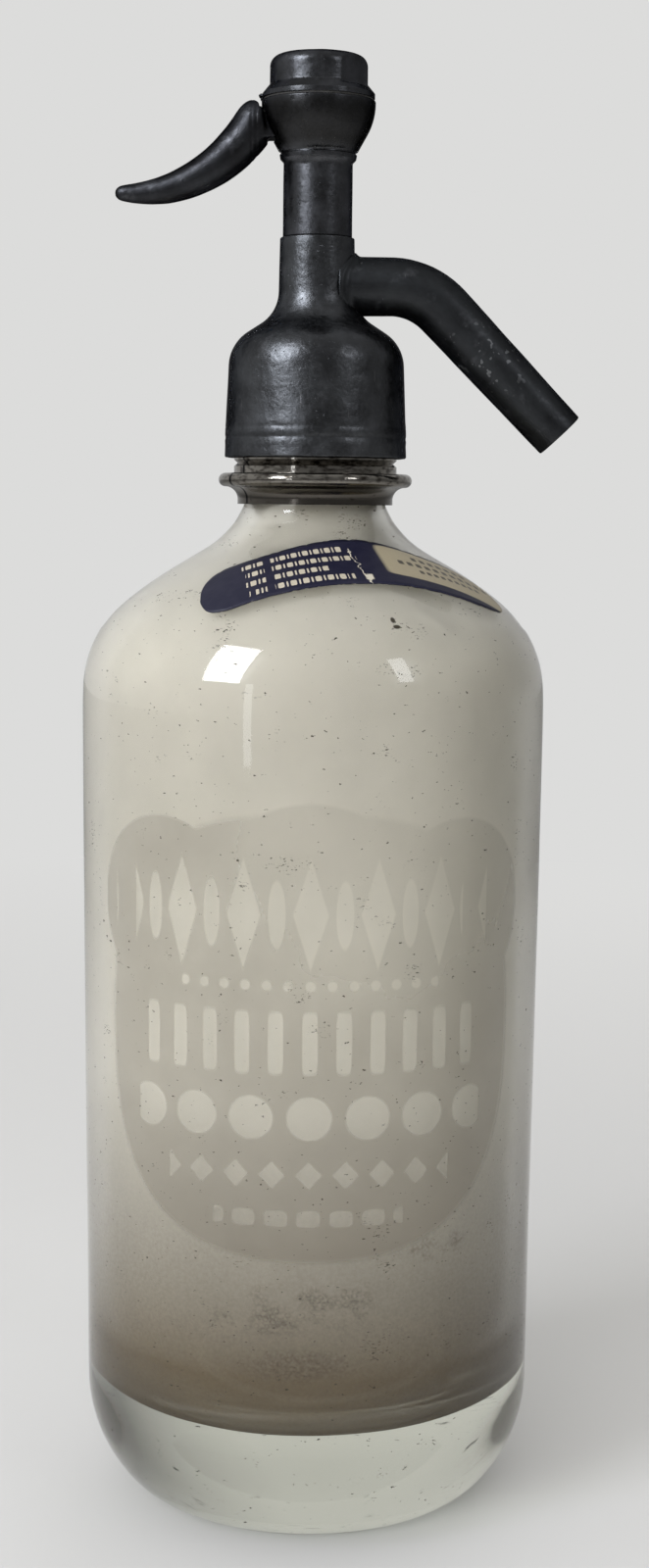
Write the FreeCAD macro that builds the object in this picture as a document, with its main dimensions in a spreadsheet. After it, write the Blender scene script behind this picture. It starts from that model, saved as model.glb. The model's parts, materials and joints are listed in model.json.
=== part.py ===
import FreeCAD, Part

import math
import os
from types import SimpleNamespace

import Sketcher

# A soda siphon: a tin-alloy valve head screwed onto a glass bottle by a split, plated collar.
# Millimetres, +Z up. The origin is the centre of the foot on the plane that it stands on.
# The spout points to +X and the lever to -X; both lie in the XZ plane.

# ---------------------------------------------------------------------------------------------
# Driving dimensions: name, size, meaning. Angles are in degrees.
# ---------------------------------------------------------------------------------------------
SIZES = [
    # glass bottle
    ("bottle_radius", 46.9, "outside of the bottle at the top of its side"),
    ("side_taper", 1.2, "how much narrower the side is where the heel starts"),
    ("heel_width", 19.0, "how far the heel reaches in from the side"),
    ("heel_rise", 24.5, "height at which the heel meets the side"),
    ("heel_curve", 16.0, "radius of the heel next to the foot"),
    ("foot_width", 3.2, "width of the ring that the bottle stands on"),
    ("punt_depth", 2.5, "push-up of the underside at its centre"),
    ("shoulder_rise", 166.6, "height at which the side turns into the shoulder"),
    ("shoulder_curve", 23.6, "radius of the outer shoulder"),
    ("shoulder_angle", 47.0, "turn of the outer shoulder"),
    ("slope_curve", 55.0, "radius of the flatter shoulder above it"),
    ("slope_angle", 61.0, "lean of the slope that the shoulder ends in, from upright"),
    ("slope_length", 6.7, "straight slope between shoulder and flare"),
    ("neck_radius", 13.2, "outside of the neck under the lip"),
    ("neck_length", 12.1, "upright neck, from the flare up to the lip"),
    ("ledge_width", 2.0, "how far the lip stands out over the neck"),
    ("lip_depth", 4.8, "height of the lip"),
    ("lip_rounding", 1.2, "rounding of the lip"),
    ("glass_wall", 4.5, "thickness of the glass"),
    ("base_depth", 22.0, "thickness of the heavy glass base at its centre"),
    ("floor_corner", 18.0, "inner radius between floor and side"),
    # paper label on the shoulder
    ("label_thickness", 0.2, "paper and glue"),
    ("label_angle", -71.5, "direction that the label faces, from the spout"),
    ("label_reach", 31.7, "bottle's axis to the label's lower edge, seen from above"),
    ("label_curve", 98.0, "radius of that edge, seen from above"),
    ("label_width", 12.8, "lower edge to upper edge, seen from above"),
    ("label_span_angle", 40.5, "angle of that edge's arc"),
    ("label_lead_angle", 2.25, "how far the arc is shifted towards the spout"),
    # split collar
    ("collar_hang", 18.9, "how far the collar reaches below the ledge"),
    ("collar_lip_wall", 1.1, "thickness of the collar at its lower lip"),
    ("collar_lip_depth", 1.0, "upright part of the lower lip"),
    ("bead_reach", 3.85, "how far the bead stands out over the lower lip"),
    ("bead_rounding", 1.35, "half of the height of the bead"),
    ("collar_wall", 3.15, "thickness of the collar at its thread"),
    ("thread_depth", 0.7, "depth of the thread"),
    ("thread_pitch", 1.6, "distance between two turns of the thread"),
    ("thread_gap", 0.1, "clearance between the threads of collar and bell"),
    ("split_angle", -150.0, "direction of one of the two splits, from the spout"),
    ("split_gap", 0.25, "gap between the two halves"),
    # seal and glass tube
    ("gasket_thickness", 2.5, "rubber ring on the lip"),
    ("gasket_clearance", 1.0, "gap between the rubber ring and the flange inside it"),
    ("tube_radius", 4.0, "outside of the glass tube"),
    ("tube_bore", 2.5, "inner radius of the glass tube"),
    ("tube_foot_gap", 8.0, "gap between the tube and the glass floor"),
    ("tube_head_gap", 0.2, "gap between the tube and the casting above it"),
    ("packing_wall", 3.2, "thickness of the tube's packing"),
    ("packing_depth", 4.2, "height of the tube's packing"),
    ("gland_step", 1.0, "how far the gland's flange stands out over the packing"),
    ("gland_flange_depth", 1.7, "height of that flange"),
    ("gland_thread_depth", 1.8, "height of the thread above that flange"),
    # bell casting
    ("bell_wall", 1.9, "thickness of the bell at its lower edge"),
    ("bell_skirt", 17.0, "how far the bell reaches below its ceiling"),
    ("bell_edge", 0.35, "broken lower edge"),
    ("lip_gap", 0.4, "gap between the glass lip and the bell round it"),
    ("bell_draft", 0.9, "how much narrower the bell is where it turns in"),
    ("bell_side", 18.3, "height of the bell's side"),
    ("bell_curve", 8.2, "radius of the bell's shoulder"),
    ("bell_angle", 57.0, "lean of the slope above the bell's shoulder"),
    ("stalk_fillet", 7.6, "hollow between that slope and the stalk"),
    ("stalk_wall", 2.55, "thickness of the stalk round its socket"),
    ("stalk_draft", 0.25, "how much narrower the stalk is at its joint"),
    ("bell_height", 43.7, "lower edge of the bell to the joint of the stalk"),
    ("joint_chamfer", 0.35, "broken edge at the joint"),
    ("passage_radius", 2.9, "way from the tube to the valve"),
    ("passage_depth", 2.1, "metal between the tube's packing and the valve"),
    # valve
    ("flow_gap", 1.1, "way round the valve washer"),
    ("seat_depth", 2.6, "height of the valve seat's body"),
    ("seat_lip", 0.8, "height of the valve seat's lip"),
    ("seat_lip_wall", 0.9, "thickness of the valve seat's lip"),
    ("seat_bevel", 0.1, "broken edges of the valve seat's lip"),
    ("seat_bore", 2.2, "hole of the valve seat"),
    ("seat_gap", 0.05, "gap under the closed valve"),
    ("washer_overlap", 0.4, "how far the valve washer reaches past the lip"),
    ("washer_depth", 2.35, "thickness of the valve washer"),
    ("disc_depth", 1.0, "thickness of the disc over the valve washer"),
    ("stub_radius", 1.0, "end of the stem through the valve washer"),
    ("screw_radius", 1.7, "outside of the nut under the valve washer"),
    ("screw_depth", 1.3, "height of that nut"),
    ("stem_radius", 1.62, "outside of the stem"),
    ("running_gap", 0.08, "running fit of the stem"),
    ("guide_length", 5.0, "stem above its lift collar"),
    # joint of the two castings
    ("socket_step", 0.6, "how much wider the socket of the stalk is than the chamber"),
    ("socket_depth", 4.7, "depth of that socket"),
    ("joint_washer_depth", 1.8, "fibre washer in the socket"),
    ("joint_washer_hole", 3.4, "inner radius of the fibre washer"),
    ("slip_gap", 0.05, "slip fit of pieces that sit in a bore"),
    # spout
    ("spigot_headroom", 0.8, "metal between the spout's spigot and the socket"),
    ("spigot_wall", 0.8, "thickness of the spout's spigot"),
    ("spout_root_wall", 2.85, "thickness of the spout at its root"),
    ("spout_bend_wall", 2.65, "thickness of the spout round its bend"),
    ("spout_mouth_wall", 2.15, "thickness of the spout at its mouth"),
    ("spout_bore", 3.2, "inner radius of the spout"),
    ("spout_reach", 14.9, "axis of the stalk to the start of the bend"),
    ("spout_bend", 14.5, "radius of the bend"),
    ("spout_angle", 46.0, "angle of the straight part below level"),
    ("spout_length", 34.4, "straight part after the bend"),
    # upper casting
    ("column_wall", 2.93, "thickness of the column round the stuffing box"),
    ("column_height", 14.3, "joint to the small collar under the bulb"),
    ("neckring_step", 0.82, "how far that small collar stands out over the column"),
    ("neckring_slope", 1.1, "height of its lower bevel"),
    ("neckring_depth", 0.9, "height of its upright face"),
    ("groove_width", 0.9, "groove between the small collar and the bulb"),
    ("groove_depth", 0.3, "depth of that groove"),
    ("bulb_foot_wall", 0.95, "thickness of the bulb at its foot"),
    ("rim_wall", 2.7, "thickness of the bulb's rim outside the cap's thread"),
    ("bulb_curve", 15.0, "radius of the bulb's side"),
    ("cavity_depth", 8.83, "floor inside the bulb to its rim"),
    ("cavity_radius", 7.0, "inside of the bulb"),
    ("floor_wall", 0.6, "metal between the groove and the floor inside the bulb"),
    ("box_radius", 4.0, "inside of the stuffing box"),
    ("box_floor", 5.1, "joint to the floor of the stuffing box"),
    ("stem_packing_depth", 3.5, "packing round the stem"),
    ("stem_gland_depth", 3.8, "nut that presses the packing"),
    # cap
    ("cap_washer_depth", 0.34, "washer under the cap"),
    ("cap_washer_inset", 0.3, "how far the washer stands back from the rim"),
    ("flange_depth", 1.0, "upright face of the flange"),
    ("flange_slope", 2.0, "height of the bevel over the flange"),
    ("flange_step", 1.45, "how far the cap's flange stands out over the cap"),
    ("cap_height", 8.45, "cap above its washer"),
    ("cap_rounding", 2.3, "rounding of the cap's upper edge"),
    ("cap_roof", 2.4, "thickness of the cap over the spring"),
    ("thread_step", 1.5, "how much wider the cap's thread is than the inside of the bulb"),
    ("cap_thread_depth", 1.7, "depth of the cap's thread in the bulb"),
    ("pocket_gap", 0.6, "gap between the spring's seat and the inside of the cap"),
    ("flat_cut", 1.0, "how deep a wrench flat is cut"),
    ("flat_angle", -36.5, "direction of one wrench flat, from the spout"),
    ("flat_depth", 6.3, "height of the wrench flats"),
    # lever, its pin and what it lifts
    ("pin_inset", 1.3, "inside of the bulb to the middle of the pin"),
    ("pin_rise", 3.8, "floor inside the bulb to the pin"),
    ("pin_radius", 0.9, "outside of the pin"),
    ("pin_gap", 0.06, "running fit of the pin"),
    ("lever_gap", 0.4, "gap all round the lever in its slot"),
    ("swing_gap", 1.4, "gap between the lever and the foot of the bulb, for its swing"),
    ("fork_half_width", 3.2, "half of the width of the lever inside the bulb"),
    ("fork_slot", 1.95, "half of the gap between the fork's prongs"),
    ("fork_root", 2.7, "axis of the stem to the end of the fork's gap"),
    ("fork_half_depth", 1.4, "half of the height of the fork"),
    ("shank_half_depth", 2.45, "half of the height of the lever from its pin outwards"),
    ("hub_radius", 1.9, "outside of the lever round its pin"),
    ("slot_swing_gap", 0.6, "gap over and under the lever in the bulb's slot"),
    ("lift_gap", 0.25, "free play between the fork and the collar that it lifts"),
    ("lift_collar_radius", 3.8, "outside of the lift collar"),
    ("lift_collar_depth", 0.9, "thickness of the lift collar"),
    ("spring_seat_rim", 0.7, "how far the spring's seat stands out round the spring"),
    ("spring_seat_depth", 0.6, "thickness of the spring's seat"),
    ("spring_radius", 3.3, "mean radius of the spring"),
    ("spring_wire", 0.4, "radius of the spring's wire"),
    ("spring_turns", 5.0, "turns of the spring"),
    ("horn_reach", 3.9, "pin to the centre of the lever's fat end, outwards"),
    ("horn_rise", 1.0, "pin to the centre of the fat end, upwards"),
    ("horn_angle", 58.0, "lean of the lever at its fat end, from level"),
    ("horn_curve", 31.0, "radius that the lever is bent to"),
    ("horn_radius", 4.3, "radius of the fat end"),
    ("horn_tip_radius", 1.75, "radius of the tip"),
    ("horn_fullness", 1.6, "how late along its length the lever gets thin"),
]
HORN_SECTIONS = 7
OVERSHOOT = 1.0  # how far a cutting tool reaches past the face that it opens


# ---------------------------------------------------------------------------------------------
# Sizes that know the sheet expression that they come from
# ---------------------------------------------------------------------------------------------
class Size:
    """A number with the expression over the sheet that gives it."""

    def __init__(self, value, text):
        self.value = value
        self.text = text

    def __add__(self, other):
        return joined(self, "+", other, self.value + as_size(other).value)

    def __sub__(self, other):
        return joined(self, "-", other, self.value - as_size(other).value)

    def __mul__(self, other):
        return joined(self, "*", other, self.value * as_size(other).value)

    def __truediv__(self, other):
        return joined(self, "/", other, self.value / as_size(other).value)

    def __neg__(self):
        return as_size(0) - self

    def __radd__(self, other):
        return as_size(other) + self

    def __rsub__(self, other):
        return as_size(other) - self

    def __rmul__(self, other):
        return as_size(other) * self


def as_size(number):
    return number if isinstance(number, Size) else Size(float(number), f"{float(number):.10g}")


def joined(left, sign, right, value):
    return Size(value, f"({as_size(left).text} {sign} {as_size(right).text})")


def sine(angle):
    return Size(math.sin(math.radians(angle.value)), f"sin({angle.text} * 1 deg)")


def cosine(angle):
    return Size(math.cos(math.radians(angle.value)), f"cos({angle.text} * 1 deg)")


def square_root(number):
    return Size(math.sqrt(number.value), f"sqrt({number.text})")


doc = FreeCAD.newDocument("SodaSiphon")
sheet = doc.addObject("Spreadsheet::Sheet", "Sizes")
for row, (name, size, meaning) in enumerate(SIZES, start=1):
    sheet.set(f"A{row}", meaning)
    sheet.set(f"B{row}", str(size))
    sheet.setAlias(f"B{row}", name)
doc.recompute()
S = SimpleNamespace(**{name: Size(size, f"Sizes.{name}") for name, size, _ in SIZES})


# ---------------------------------------------------------------------------------------------
# Ways of making solids
# ---------------------------------------------------------------------------------------------
def bind(thing, **properties):
    """Ties properties of a document object to sizes. A double underscore stands for a dot."""
    for name, size in properties.items():
        thing.setExpression(name.replace("__", "."), as_size(size).text)


def place(thing, x=0, y=0, z=0, axis=None, angle=None):
    """Puts an object at a bound place, turned about one axis by a bound angle."""
    if axis is not None:
        thing.Placement = FreeCAD.Placement(
            FreeCAD.Vector(), FreeCAD.Rotation(FreeCAD.Vector(*axis), angle.value)
        )
        thing.setExpression("Placement.Rotation.Angle", f"{angle.text} * 1 deg")
        for letter, part in zip("xyz", axis):
            thing.setExpression(f"Placement.Rotation.Axis.{letter}", str(part))
    for letter, size in (("x", x), ("y", y), ("z", z)):
        thing.setExpression(f"Placement.Base.{letter}", as_size(size).text)
    return thing


def edge_between(start, end, radius):
    """A line, or an arc of the given radius that bends left where the radius is positive."""
    first = FreeCAD.Vector(start[0].value, start[1].value, 0)
    last = FreeCAD.Vector(end[0].value, end[1].value, 0)
    if radius is None:
        return Part.LineSegment(first, last)
    chord = last - first
    left = FreeCAD.Vector(-chord.y, chord.x, 0).normalize()
    rise = math.sqrt(radius.value**2 - (chord.Length / 2) ** 2)
    centre = first + chord * 0.5 + left * math.copysign(rise, radius.value)
    circle = Part.Circle(centre, FreeCAD.Vector(0, 0, 1), abs(radius.value))
    ends = (first, last) if radius.value > 0 else (last, first)
    angles = [math.atan2(point.y - centre.y, point.x - centre.x) for point in ends]
    if angles[1] < angles[0]:
        angles[1] += 2 * math.pi
    return Part.ArcOfCircle(circle, *angles)


def outline(body, plane, corners):
    """A closed sketch with every corner placed by sizes. A third number in a corner is the
    radius of the edge that arrives there."""
    sketch = body.newObject("Sketcher::SketchObject", "Outline")
    flat = [item for item in body.Origin.OriginFeatures if item.Role == plane][0]
    sketch.AttachmentSupport = [(flat, "")]
    sketch.MapMode = "FlatFace"
    corners = [tuple(as_size(number) for number in corner) for corner in corners]
    ends = []
    for start, end in zip([corners[-1]] + corners[:-1], corners):
        radius = end[2] if len(end) > 2 else None
        sketch.addGeometry(edge_between(start, end, radius), False)
        ends.append((2, 1) if radius is not None and radius.value < 0 else (1, 2))
    for index, corner in enumerate(corners):
        following = (index + 1) % len(corners)
        tie = (index, ends[index][1], following, ends[following][0])
        sketch.addConstraint(Sketcher.Constraint("Coincident", *tie))
    for index, corner in enumerate(corners):
        for kind, size in (("DistanceX", corner[0]), ("DistanceY", corner[1])):
            number = sketch.addConstraint(
                Sketcher.Constraint(kind, -1, 1, index, ends[index][1], size.value)
            )
            sketch.setExpression(f"Constraints[{number}]", size.text)
        if len(corner) > 2:
            radius = corner[2] if corner[2].value > 0 else -corner[2]
            number = sketch.addConstraint(Sketcher.Constraint("Radius", index, radius.value))
            sketch.setExpression(f"Constraints[{number}]", radius.text)
    return sketch


def turned(label, corners, span=None):
    """A body turned about Z from (radius, height) corners, whole or over an angle."""
    body = doc.addObject("PartDesign::Body", label)
    sketch = outline(body, "XZ_Plane", corners)
    turn = body.newObject("PartDesign::Revolution", "Turn")
    turn.Profile = sketch
    turn.ReferenceAxis = (sketch, ["V_Axis"])
    turn.Angle = 360
    if span is not None:
        turn.Midplane = True
        bind(turn, Angle=span)
    body.Label = label
    return body


def ring(label, inner, outer, bottom, top):
    """A plain ring between two radii and two heights."""
    return turned(label, [(inner, bottom), (outer, bottom), (outer, top), (inner, top)])


def primitive(kind, label, **properties):
    thing = doc.addObject(f"Part::{kind}", label)
    bind(thing, **properties)
    return thing


def taper(label, first_radius, last_radius, height):
    """A cone, or a cylinder where both ends have the same radius."""
    if first_radius is last_radius:
        return primitive("Cylinder", label, Radius=first_radius, Height=height)
    return primitive("Cone", label, Radius1=first_radius, Radius2=last_radius, Height=height)


def fused(label, *pieces):
    thing = doc.addObject("Part::MultiFuse", label)
    thing.Shapes = list(pieces)
    thing.Refine = True
    return thing


def cut(label, base, *tools):
    thing = doc.addObject("Part::Cut", label)
    thing.Base = base
    thing.Tool = tools[0] if len(tools) == 1 else fused(label + "_tools", *tools)
    return thing


def shared(label, base, tool):
    """What two solids have in common."""
    thing = doc.addObject("Part::Common", label)
    thing.Base = base
    thing.Tool = tool
    return thing


def cross_cylinder(label, radius, half_length, x, z):
    """A cylinder along Y, centred on the XZ plane."""
    rod = primitive("Cylinder", label, Radius=radius, Height=half_length * 2)
    return place(rod, x, half_length, z, axis=(1, 0, 0), angle=as_size(90))


def centred_box(label, x_from, x_to, half_width, z_from, z_to):
    block = primitive(
        "Box", label, Length=x_to - x_from, Width=half_width * 2, Height=z_to - z_from
    )
    return place(block, x_from, -half_width, z_from)


# ---------------------------------------------------------------------------------------------
# The line of the bottle's shoulder, which the collar follows too
# ---------------------------------------------------------------------------------------------
shoulder_centre = (S.bottle_radius - S.shoulder_curve, S.shoulder_rise)
shoulder_out = (cosine(S.shoulder_angle), sine(S.shoulder_angle))
slope_out = (cosine(S.slope_angle), sine(S.slope_angle))


def stepped(point, direction, distance):
    """The point that lies a distance from another one, in the given direction."""
    return (point[0] + direction[0] * distance, point[1] + direction[1] * distance)


slope_centre = stepped(shoulder_centre, shoulder_out, S.shoulder_curve - S.slope_curve)
slope_end = stepped(slope_centre, slope_out, S.slope_curve)
slope_up = (-slope_out[1], slope_out[0])
flare_start = stepped(slope_end, slope_up, S.slope_length)
flare_curve = (flare_start[0] - S.neck_radius) / (1 - slope_out[0])
flare_centre = stepped(flare_start, slope_out, flare_curve)


# ---------------------------------------------------------------------------------------------
# Radii that several pieces share
# ---------------------------------------------------------------------------------------------
lip_radius = S.neck_radius + S.ledge_width
thread_radius = S.neck_radius + S.slip_gap + S.collar_wall
bell_bore = thread_radius + S.thread_gap
bell_radius = bell_bore + S.bell_wall
bell_top_radius = bell_radius - S.bell_draft
packing_radius = S.tube_radius + S.packing_wall
gland_flange_radius = packing_radius + S.gland_step
gasket_hole = gland_flange_radius + S.gasket_clearance
seat_lip_radius = S.seat_bore + S.seat_lip_wall
washer_radius = seat_lip_radius + S.washer_overlap
chamber_radius = washer_radius + S.flow_gap
socket_radius = chamber_radius + S.socket_step
stalk_radius = socket_radius + S.stalk_wall
stalk_top_radius = stalk_radius - S.stalk_draft
spigot_radius = S.spout_bore + S.spigot_wall
spout_root_radius = S.spout_bore + S.spout_root_wall
spout_bend_radius = S.spout_bore + S.spout_bend_wall
spout_mouth_radius = S.spout_bore + S.spout_mouth_wall
column_radius = S.box_radius + S.column_wall
neckring_radius = column_radius + S.neckring_step
bulb_foot_radius = S.cavity_radius + S.bulb_foot_wall
cap_thread_radius = S.cavity_radius + S.thread_step
bulb_radius = cap_thread_radius + S.rim_wall
cap_radius = bulb_radius - S.flange_step
flat_distance = cap_radius - S.flat_cut
spring_seat_radius = S.spring_radius + S.spring_wire + S.spring_seat_rim
spring_pocket = spring_seat_radius + S.pocket_gap
pin_reach = S.cavity_radius + S.pin_inset
slot_half_height = S.shank_half_depth + S.slot_swing_gap


# ---------------------------------------------------------------------------------------------
# Heights that several pieces share
# ---------------------------------------------------------------------------------------------
ledge = flare_centre[1] + S.neck_length
lip_top = ledge + S.lip_depth
ceiling = lip_top + S.gasket_thickness
bell_bottom = ceiling - S.bell_skirt
joint = bell_bottom + S.bell_height
collar_bottom = ledge - S.collar_hang
tube_gland_top = ceiling + S.gland_thread_depth
tube_packing_top = tube_gland_top + S.packing_depth
chamber_floor = tube_packing_top + S.passage_depth
seat_top = chamber_floor + S.seat_depth + S.seat_lip
washer_bottom = seat_top + S.seat_gap
washer_top = washer_bottom + S.washer_depth
disc_top = washer_top + S.disc_depth
socket_floor = joint - S.socket_depth
spout_height = socket_floor - S.spigot_headroom - spigot_radius
spigot_bottom = socket_floor + S.joint_washer_depth
box_floor = joint + S.box_floor
stem_packing_top = box_floor + S.stem_packing_depth
stem_gland_top = stem_packing_top + S.stem_gland_depth
column_top = joint + S.column_height
band_bottom = column_top + S.neckring_slope
band_top = band_bottom + S.neckring_depth
bulb_foot = band_top + S.groove_width
cavity_floor = bulb_foot + S.floor_wall
pin_height = cavity_floor + S.pin_rise
rim_top = cavity_floor + S.cavity_depth
cap_seat = rim_top + S.cap_washer_depth
cap_thread_bottom = rim_top - S.cap_thread_depth
cap_top = cap_seat + S.cap_height
spring_top = cap_top - S.cap_roof
lift_collar_bottom = pin_height + S.fork_half_depth + S.lift_gap
lift_collar_top = lift_collar_bottom + S.lift_collar_depth
spring_bottom = lift_collar_top + S.spring_seat_depth
stem_top = lift_collar_top + S.guide_length


# ---------------------------------------------------------------------------------------------
# Bottle and label
# ---------------------------------------------------------------------------------------------
def shoulder_up(inset):
    """Corners of the glass from the side up into the neck, moved into the glass by inset."""
    return [
        (S.bottle_radius - inset, S.shoulder_rise),
        stepped(shoulder_centre, shoulder_out, S.shoulder_curve - inset)
        + (S.shoulder_curve - inset,),
        stepped(slope_end, slope_out, -inset) + (S.slope_curve - inset,),
        stepped(flare_start, slope_out, -inset),
        (S.neck_radius - inset, flare_centre[1], -(flare_curve + inset)),
    ]


def reversed_corners(corners):
    """The same corners walked the other way, with each radius on the edge that it belongs to."""
    radii = [corner[2] if len(corner) > 2 else None for corner in corners]
    result = []
    for index in reversed(range(len(corners))):
        following = radii[index + 1] if index + 1 < len(corners) else None
        point = tuple(corners[index][:2])
        result.append(point if following is None else point + (-as_size(following),))
    return result


def make_bottle():
    foot_radius = S.bottle_radius - S.side_taper - S.heel_width
    heel_radius = S.bottle_radius - S.side_taper
    heel_reach = S.heel_rise - S.heel_curve
    # The heel is two arcs that meet without a corner: one by the foot, a larger one by the side.
    side_curve = (S.heel_width * S.heel_width + heel_reach * heel_reach
                  - S.heel_curve * S.heel_curve) / (2 * (S.heel_width - S.heel_curve))
    curves = side_curve - S.heel_curve
    across = (foot_radius - heel_radius + side_curve) / curves
    meeting = (
        foot_radius + S.heel_curve * across,
        S.heel_curve - S.heel_curve * heel_reach / curves,
    )
    punt_radius = foot_radius - S.foot_width
    punt_curve = (punt_radius * punt_radius + S.punt_depth * S.punt_depth) / (2 * S.punt_depth)
    inner_side = heel_radius - S.glass_wall
    outside = [
        (0, S.punt_depth),
        (punt_radius, 0, -punt_curve),
        (foot_radius, 0),
        meeting + (S.heel_curve,),
        (heel_radius, S.heel_rise, side_curve),
        *shoulder_up(as_size(0)),
        (S.neck_radius, ledge),
        (lip_radius, ledge),
        (lip_radius, lip_top - S.lip_rounding),
        (lip_radius - S.lip_rounding, lip_top, S.lip_rounding),
    ]
    inside = [
        (S.neck_radius - S.glass_wall, lip_top),
        *reversed_corners(shoulder_up(S.glass_wall)),
        (inner_side, S.base_depth + S.floor_corner),
        (inner_side - S.floor_corner, S.base_depth, -S.floor_corner),
        (0, S.base_depth),
    ]
    return turned("bottle", outside + inside)


def make_label():
    """A strip that is curved as seen from above, laid over the shoulder and the flare."""
    skin = turned(
        "label_skin",
        shoulder_up(-S.label_thickness) + reversed_corners(shoulder_up(as_size(0))),
    )
    strip = turned(
        "label_strip",
        [
            (S.label_curve - S.label_width, S.shoulder_rise),
            (S.label_curve, S.shoulder_rise),
            (S.label_curve, flare_centre[1]),
            (S.label_curve - S.label_width, flare_centre[1]),
        ],
        span=S.label_span_angle,
    )
    centre = S.label_reach - S.label_curve
    place(
        strip,
        centre * cosine(S.label_angle),
        centre * sine(S.label_angle),
        axis=(0, 0, 1),
        angle=S.label_angle + S.label_lead_angle,
    )
    return shared("shoulder_label", skin, strip)


# ---------------------------------------------------------------------------------------------
# Split collar and bell casting, joined by one thread
# ---------------------------------------------------------------------------------------------
collar_cove = S.bead_reach - S.bead_rounding
cove_bottom = collar_bottom + S.collar_lip_depth
bead_top = cove_bottom + collar_cove + 2 * S.bead_rounding
thread_bottom = bead_top + S.thread_pitch / 4
FLANK = 0.4  # half of the width of a groove, as a share of the pitch


def thread_turns(low, high):
    """Numbers of the grooves of the thread that fit between two heights."""
    first = math.ceil((low.value - thread_bottom.value) / S.thread_pitch.value + FLANK)
    last = math.floor((high.value - thread_bottom.value) / S.thread_pitch.value - FLANK)
    return range(first, last + 1)


def thread_up(radius, turns):
    """Corners of V grooves, one for each turn, in a cylinder of the given radius."""
    corners = []
    for turn in turns:
        middle = thread_bottom + S.thread_pitch * turn
        corners += [
            (radius, middle - S.thread_pitch * FLANK),
            (radius - S.thread_depth, middle),
            (radius, middle + S.thread_pitch * FLANK),
        ]
    return corners


def make_collar_half(label, direction):
    inner = S.neck_radius + S.slip_gap
    drop = flare_centre[1] - collar_bottom
    inner_curve = flare_curve - S.slip_gap
    inner_foot = flare_centre[0] - square_root(inner_curve * inner_curve - drop * drop)
    lower_radius = inner_foot + S.collar_lip_wall
    bead_start = lower_radius + collar_cove
    bead_radius = bead_start + S.bead_rounding
    cove_top = cove_bottom + collar_cove
    corners = [
        (inner_foot, collar_bottom, inner_curve),
        (lower_radius, collar_bottom),
        (lower_radius, cove_bottom),
        (bead_start, cove_top, -collar_cove),
        (bead_radius, cove_top + S.bead_rounding, S.bead_rounding),
        (bead_start, bead_top, S.bead_rounding),
        (thread_radius, bead_top),
        *thread_up(thread_radius, thread_turns(bead_top, ledge)),
        (thread_radius, ledge),
        (inner, ledge),
        (inner, flare_centre[1]),
    ]
    half = turned(label + "_blank", corners, span=as_size(180))
    place(half, axis=(0, 0, 1), angle=direction)
    reach = bead_radius * 2
    thickness = S.split_gap / 2
    saw = primitive(
        "Box", label + "_saw", Length=reach * 2, Width=S.split_gap, Height=S.collar_hang + 2 * OVERSHOOT
    )
    place(
        saw,
        thickness * sine(S.split_angle) - reach * cosine(S.split_angle),
        -(reach * sine(S.split_angle) + thickness * cosine(S.split_angle)),
        collar_bottom - OVERSHOOT,
        axis=(0, 0, 1),
        angle=S.split_angle,
    )
    return cut(label, half, saw)


def bell_outline():
    """Outside of the bell, from the axis at its lower edge to the axis at its joint."""
    out = (cosine(S.bell_angle), sine(S.bell_angle))
    side_top = bell_bottom + S.bell_side
    curve_end = (
        bell_top_radius - S.bell_curve + S.bell_curve * out[0],
        side_top + S.bell_curve * out[1],
    )
    fillet_start_radius = stalk_radius + S.stalk_fillet - S.stalk_fillet * out[0]
    fillet_start = (
        fillet_start_radius,
        curve_end[1] + (curve_end[0] - fillet_start_radius) * out[0] / out[1],
    )
    return [
        (0, bell_bottom),
        (bell_radius - S.bell_edge, bell_bottom),
        (bell_radius, bell_bottom + S.bell_edge, S.bell_edge),
        (bell_top_radius, side_top),
        curve_end + (S.bell_curve,),
        fillet_start,
        (stalk_radius, fillet_start[1] + S.stalk_fillet * out[1], -S.stalk_fillet),
        (stalk_top_radius, joint - S.joint_chamfer),
        (stalk_top_radius - S.joint_chamfer, joint),
        (0, joint),
    ]


def make_bell(blank, spigot):
    """The bell: a threaded skirt, a ceiling over the gasket and a stalk with the valve chamber."""
    relief = lip_radius + S.lip_gap
    thread_top = ledge + S.joint_chamfer
    below = bell_bottom - OVERSHOOT
    hollow = turned(
        "bell_hollow",
        [
            (0, below),
            (bell_bore, below),
            *thread_up(bell_bore, thread_turns(bell_bottom, ledge)),
            (bell_bore, thread_top),
            (relief, thread_top),
            (relief, ceiling),
            (packing_radius + S.slip_gap, ceiling),
            (packing_radius + S.slip_gap, tube_packing_top),
            (S.passage_radius, tube_packing_top),
            (S.passage_radius, chamber_floor),
            (chamber_radius, chamber_floor),
            (chamber_radius, socket_floor),
            (socket_radius, socket_floor),
            (socket_radius, joint + OVERSHOOT),
            (0, joint + OVERSHOOT),
        ],
    )
    return cut("bell_casting", blank, hollow, spigot)


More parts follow.
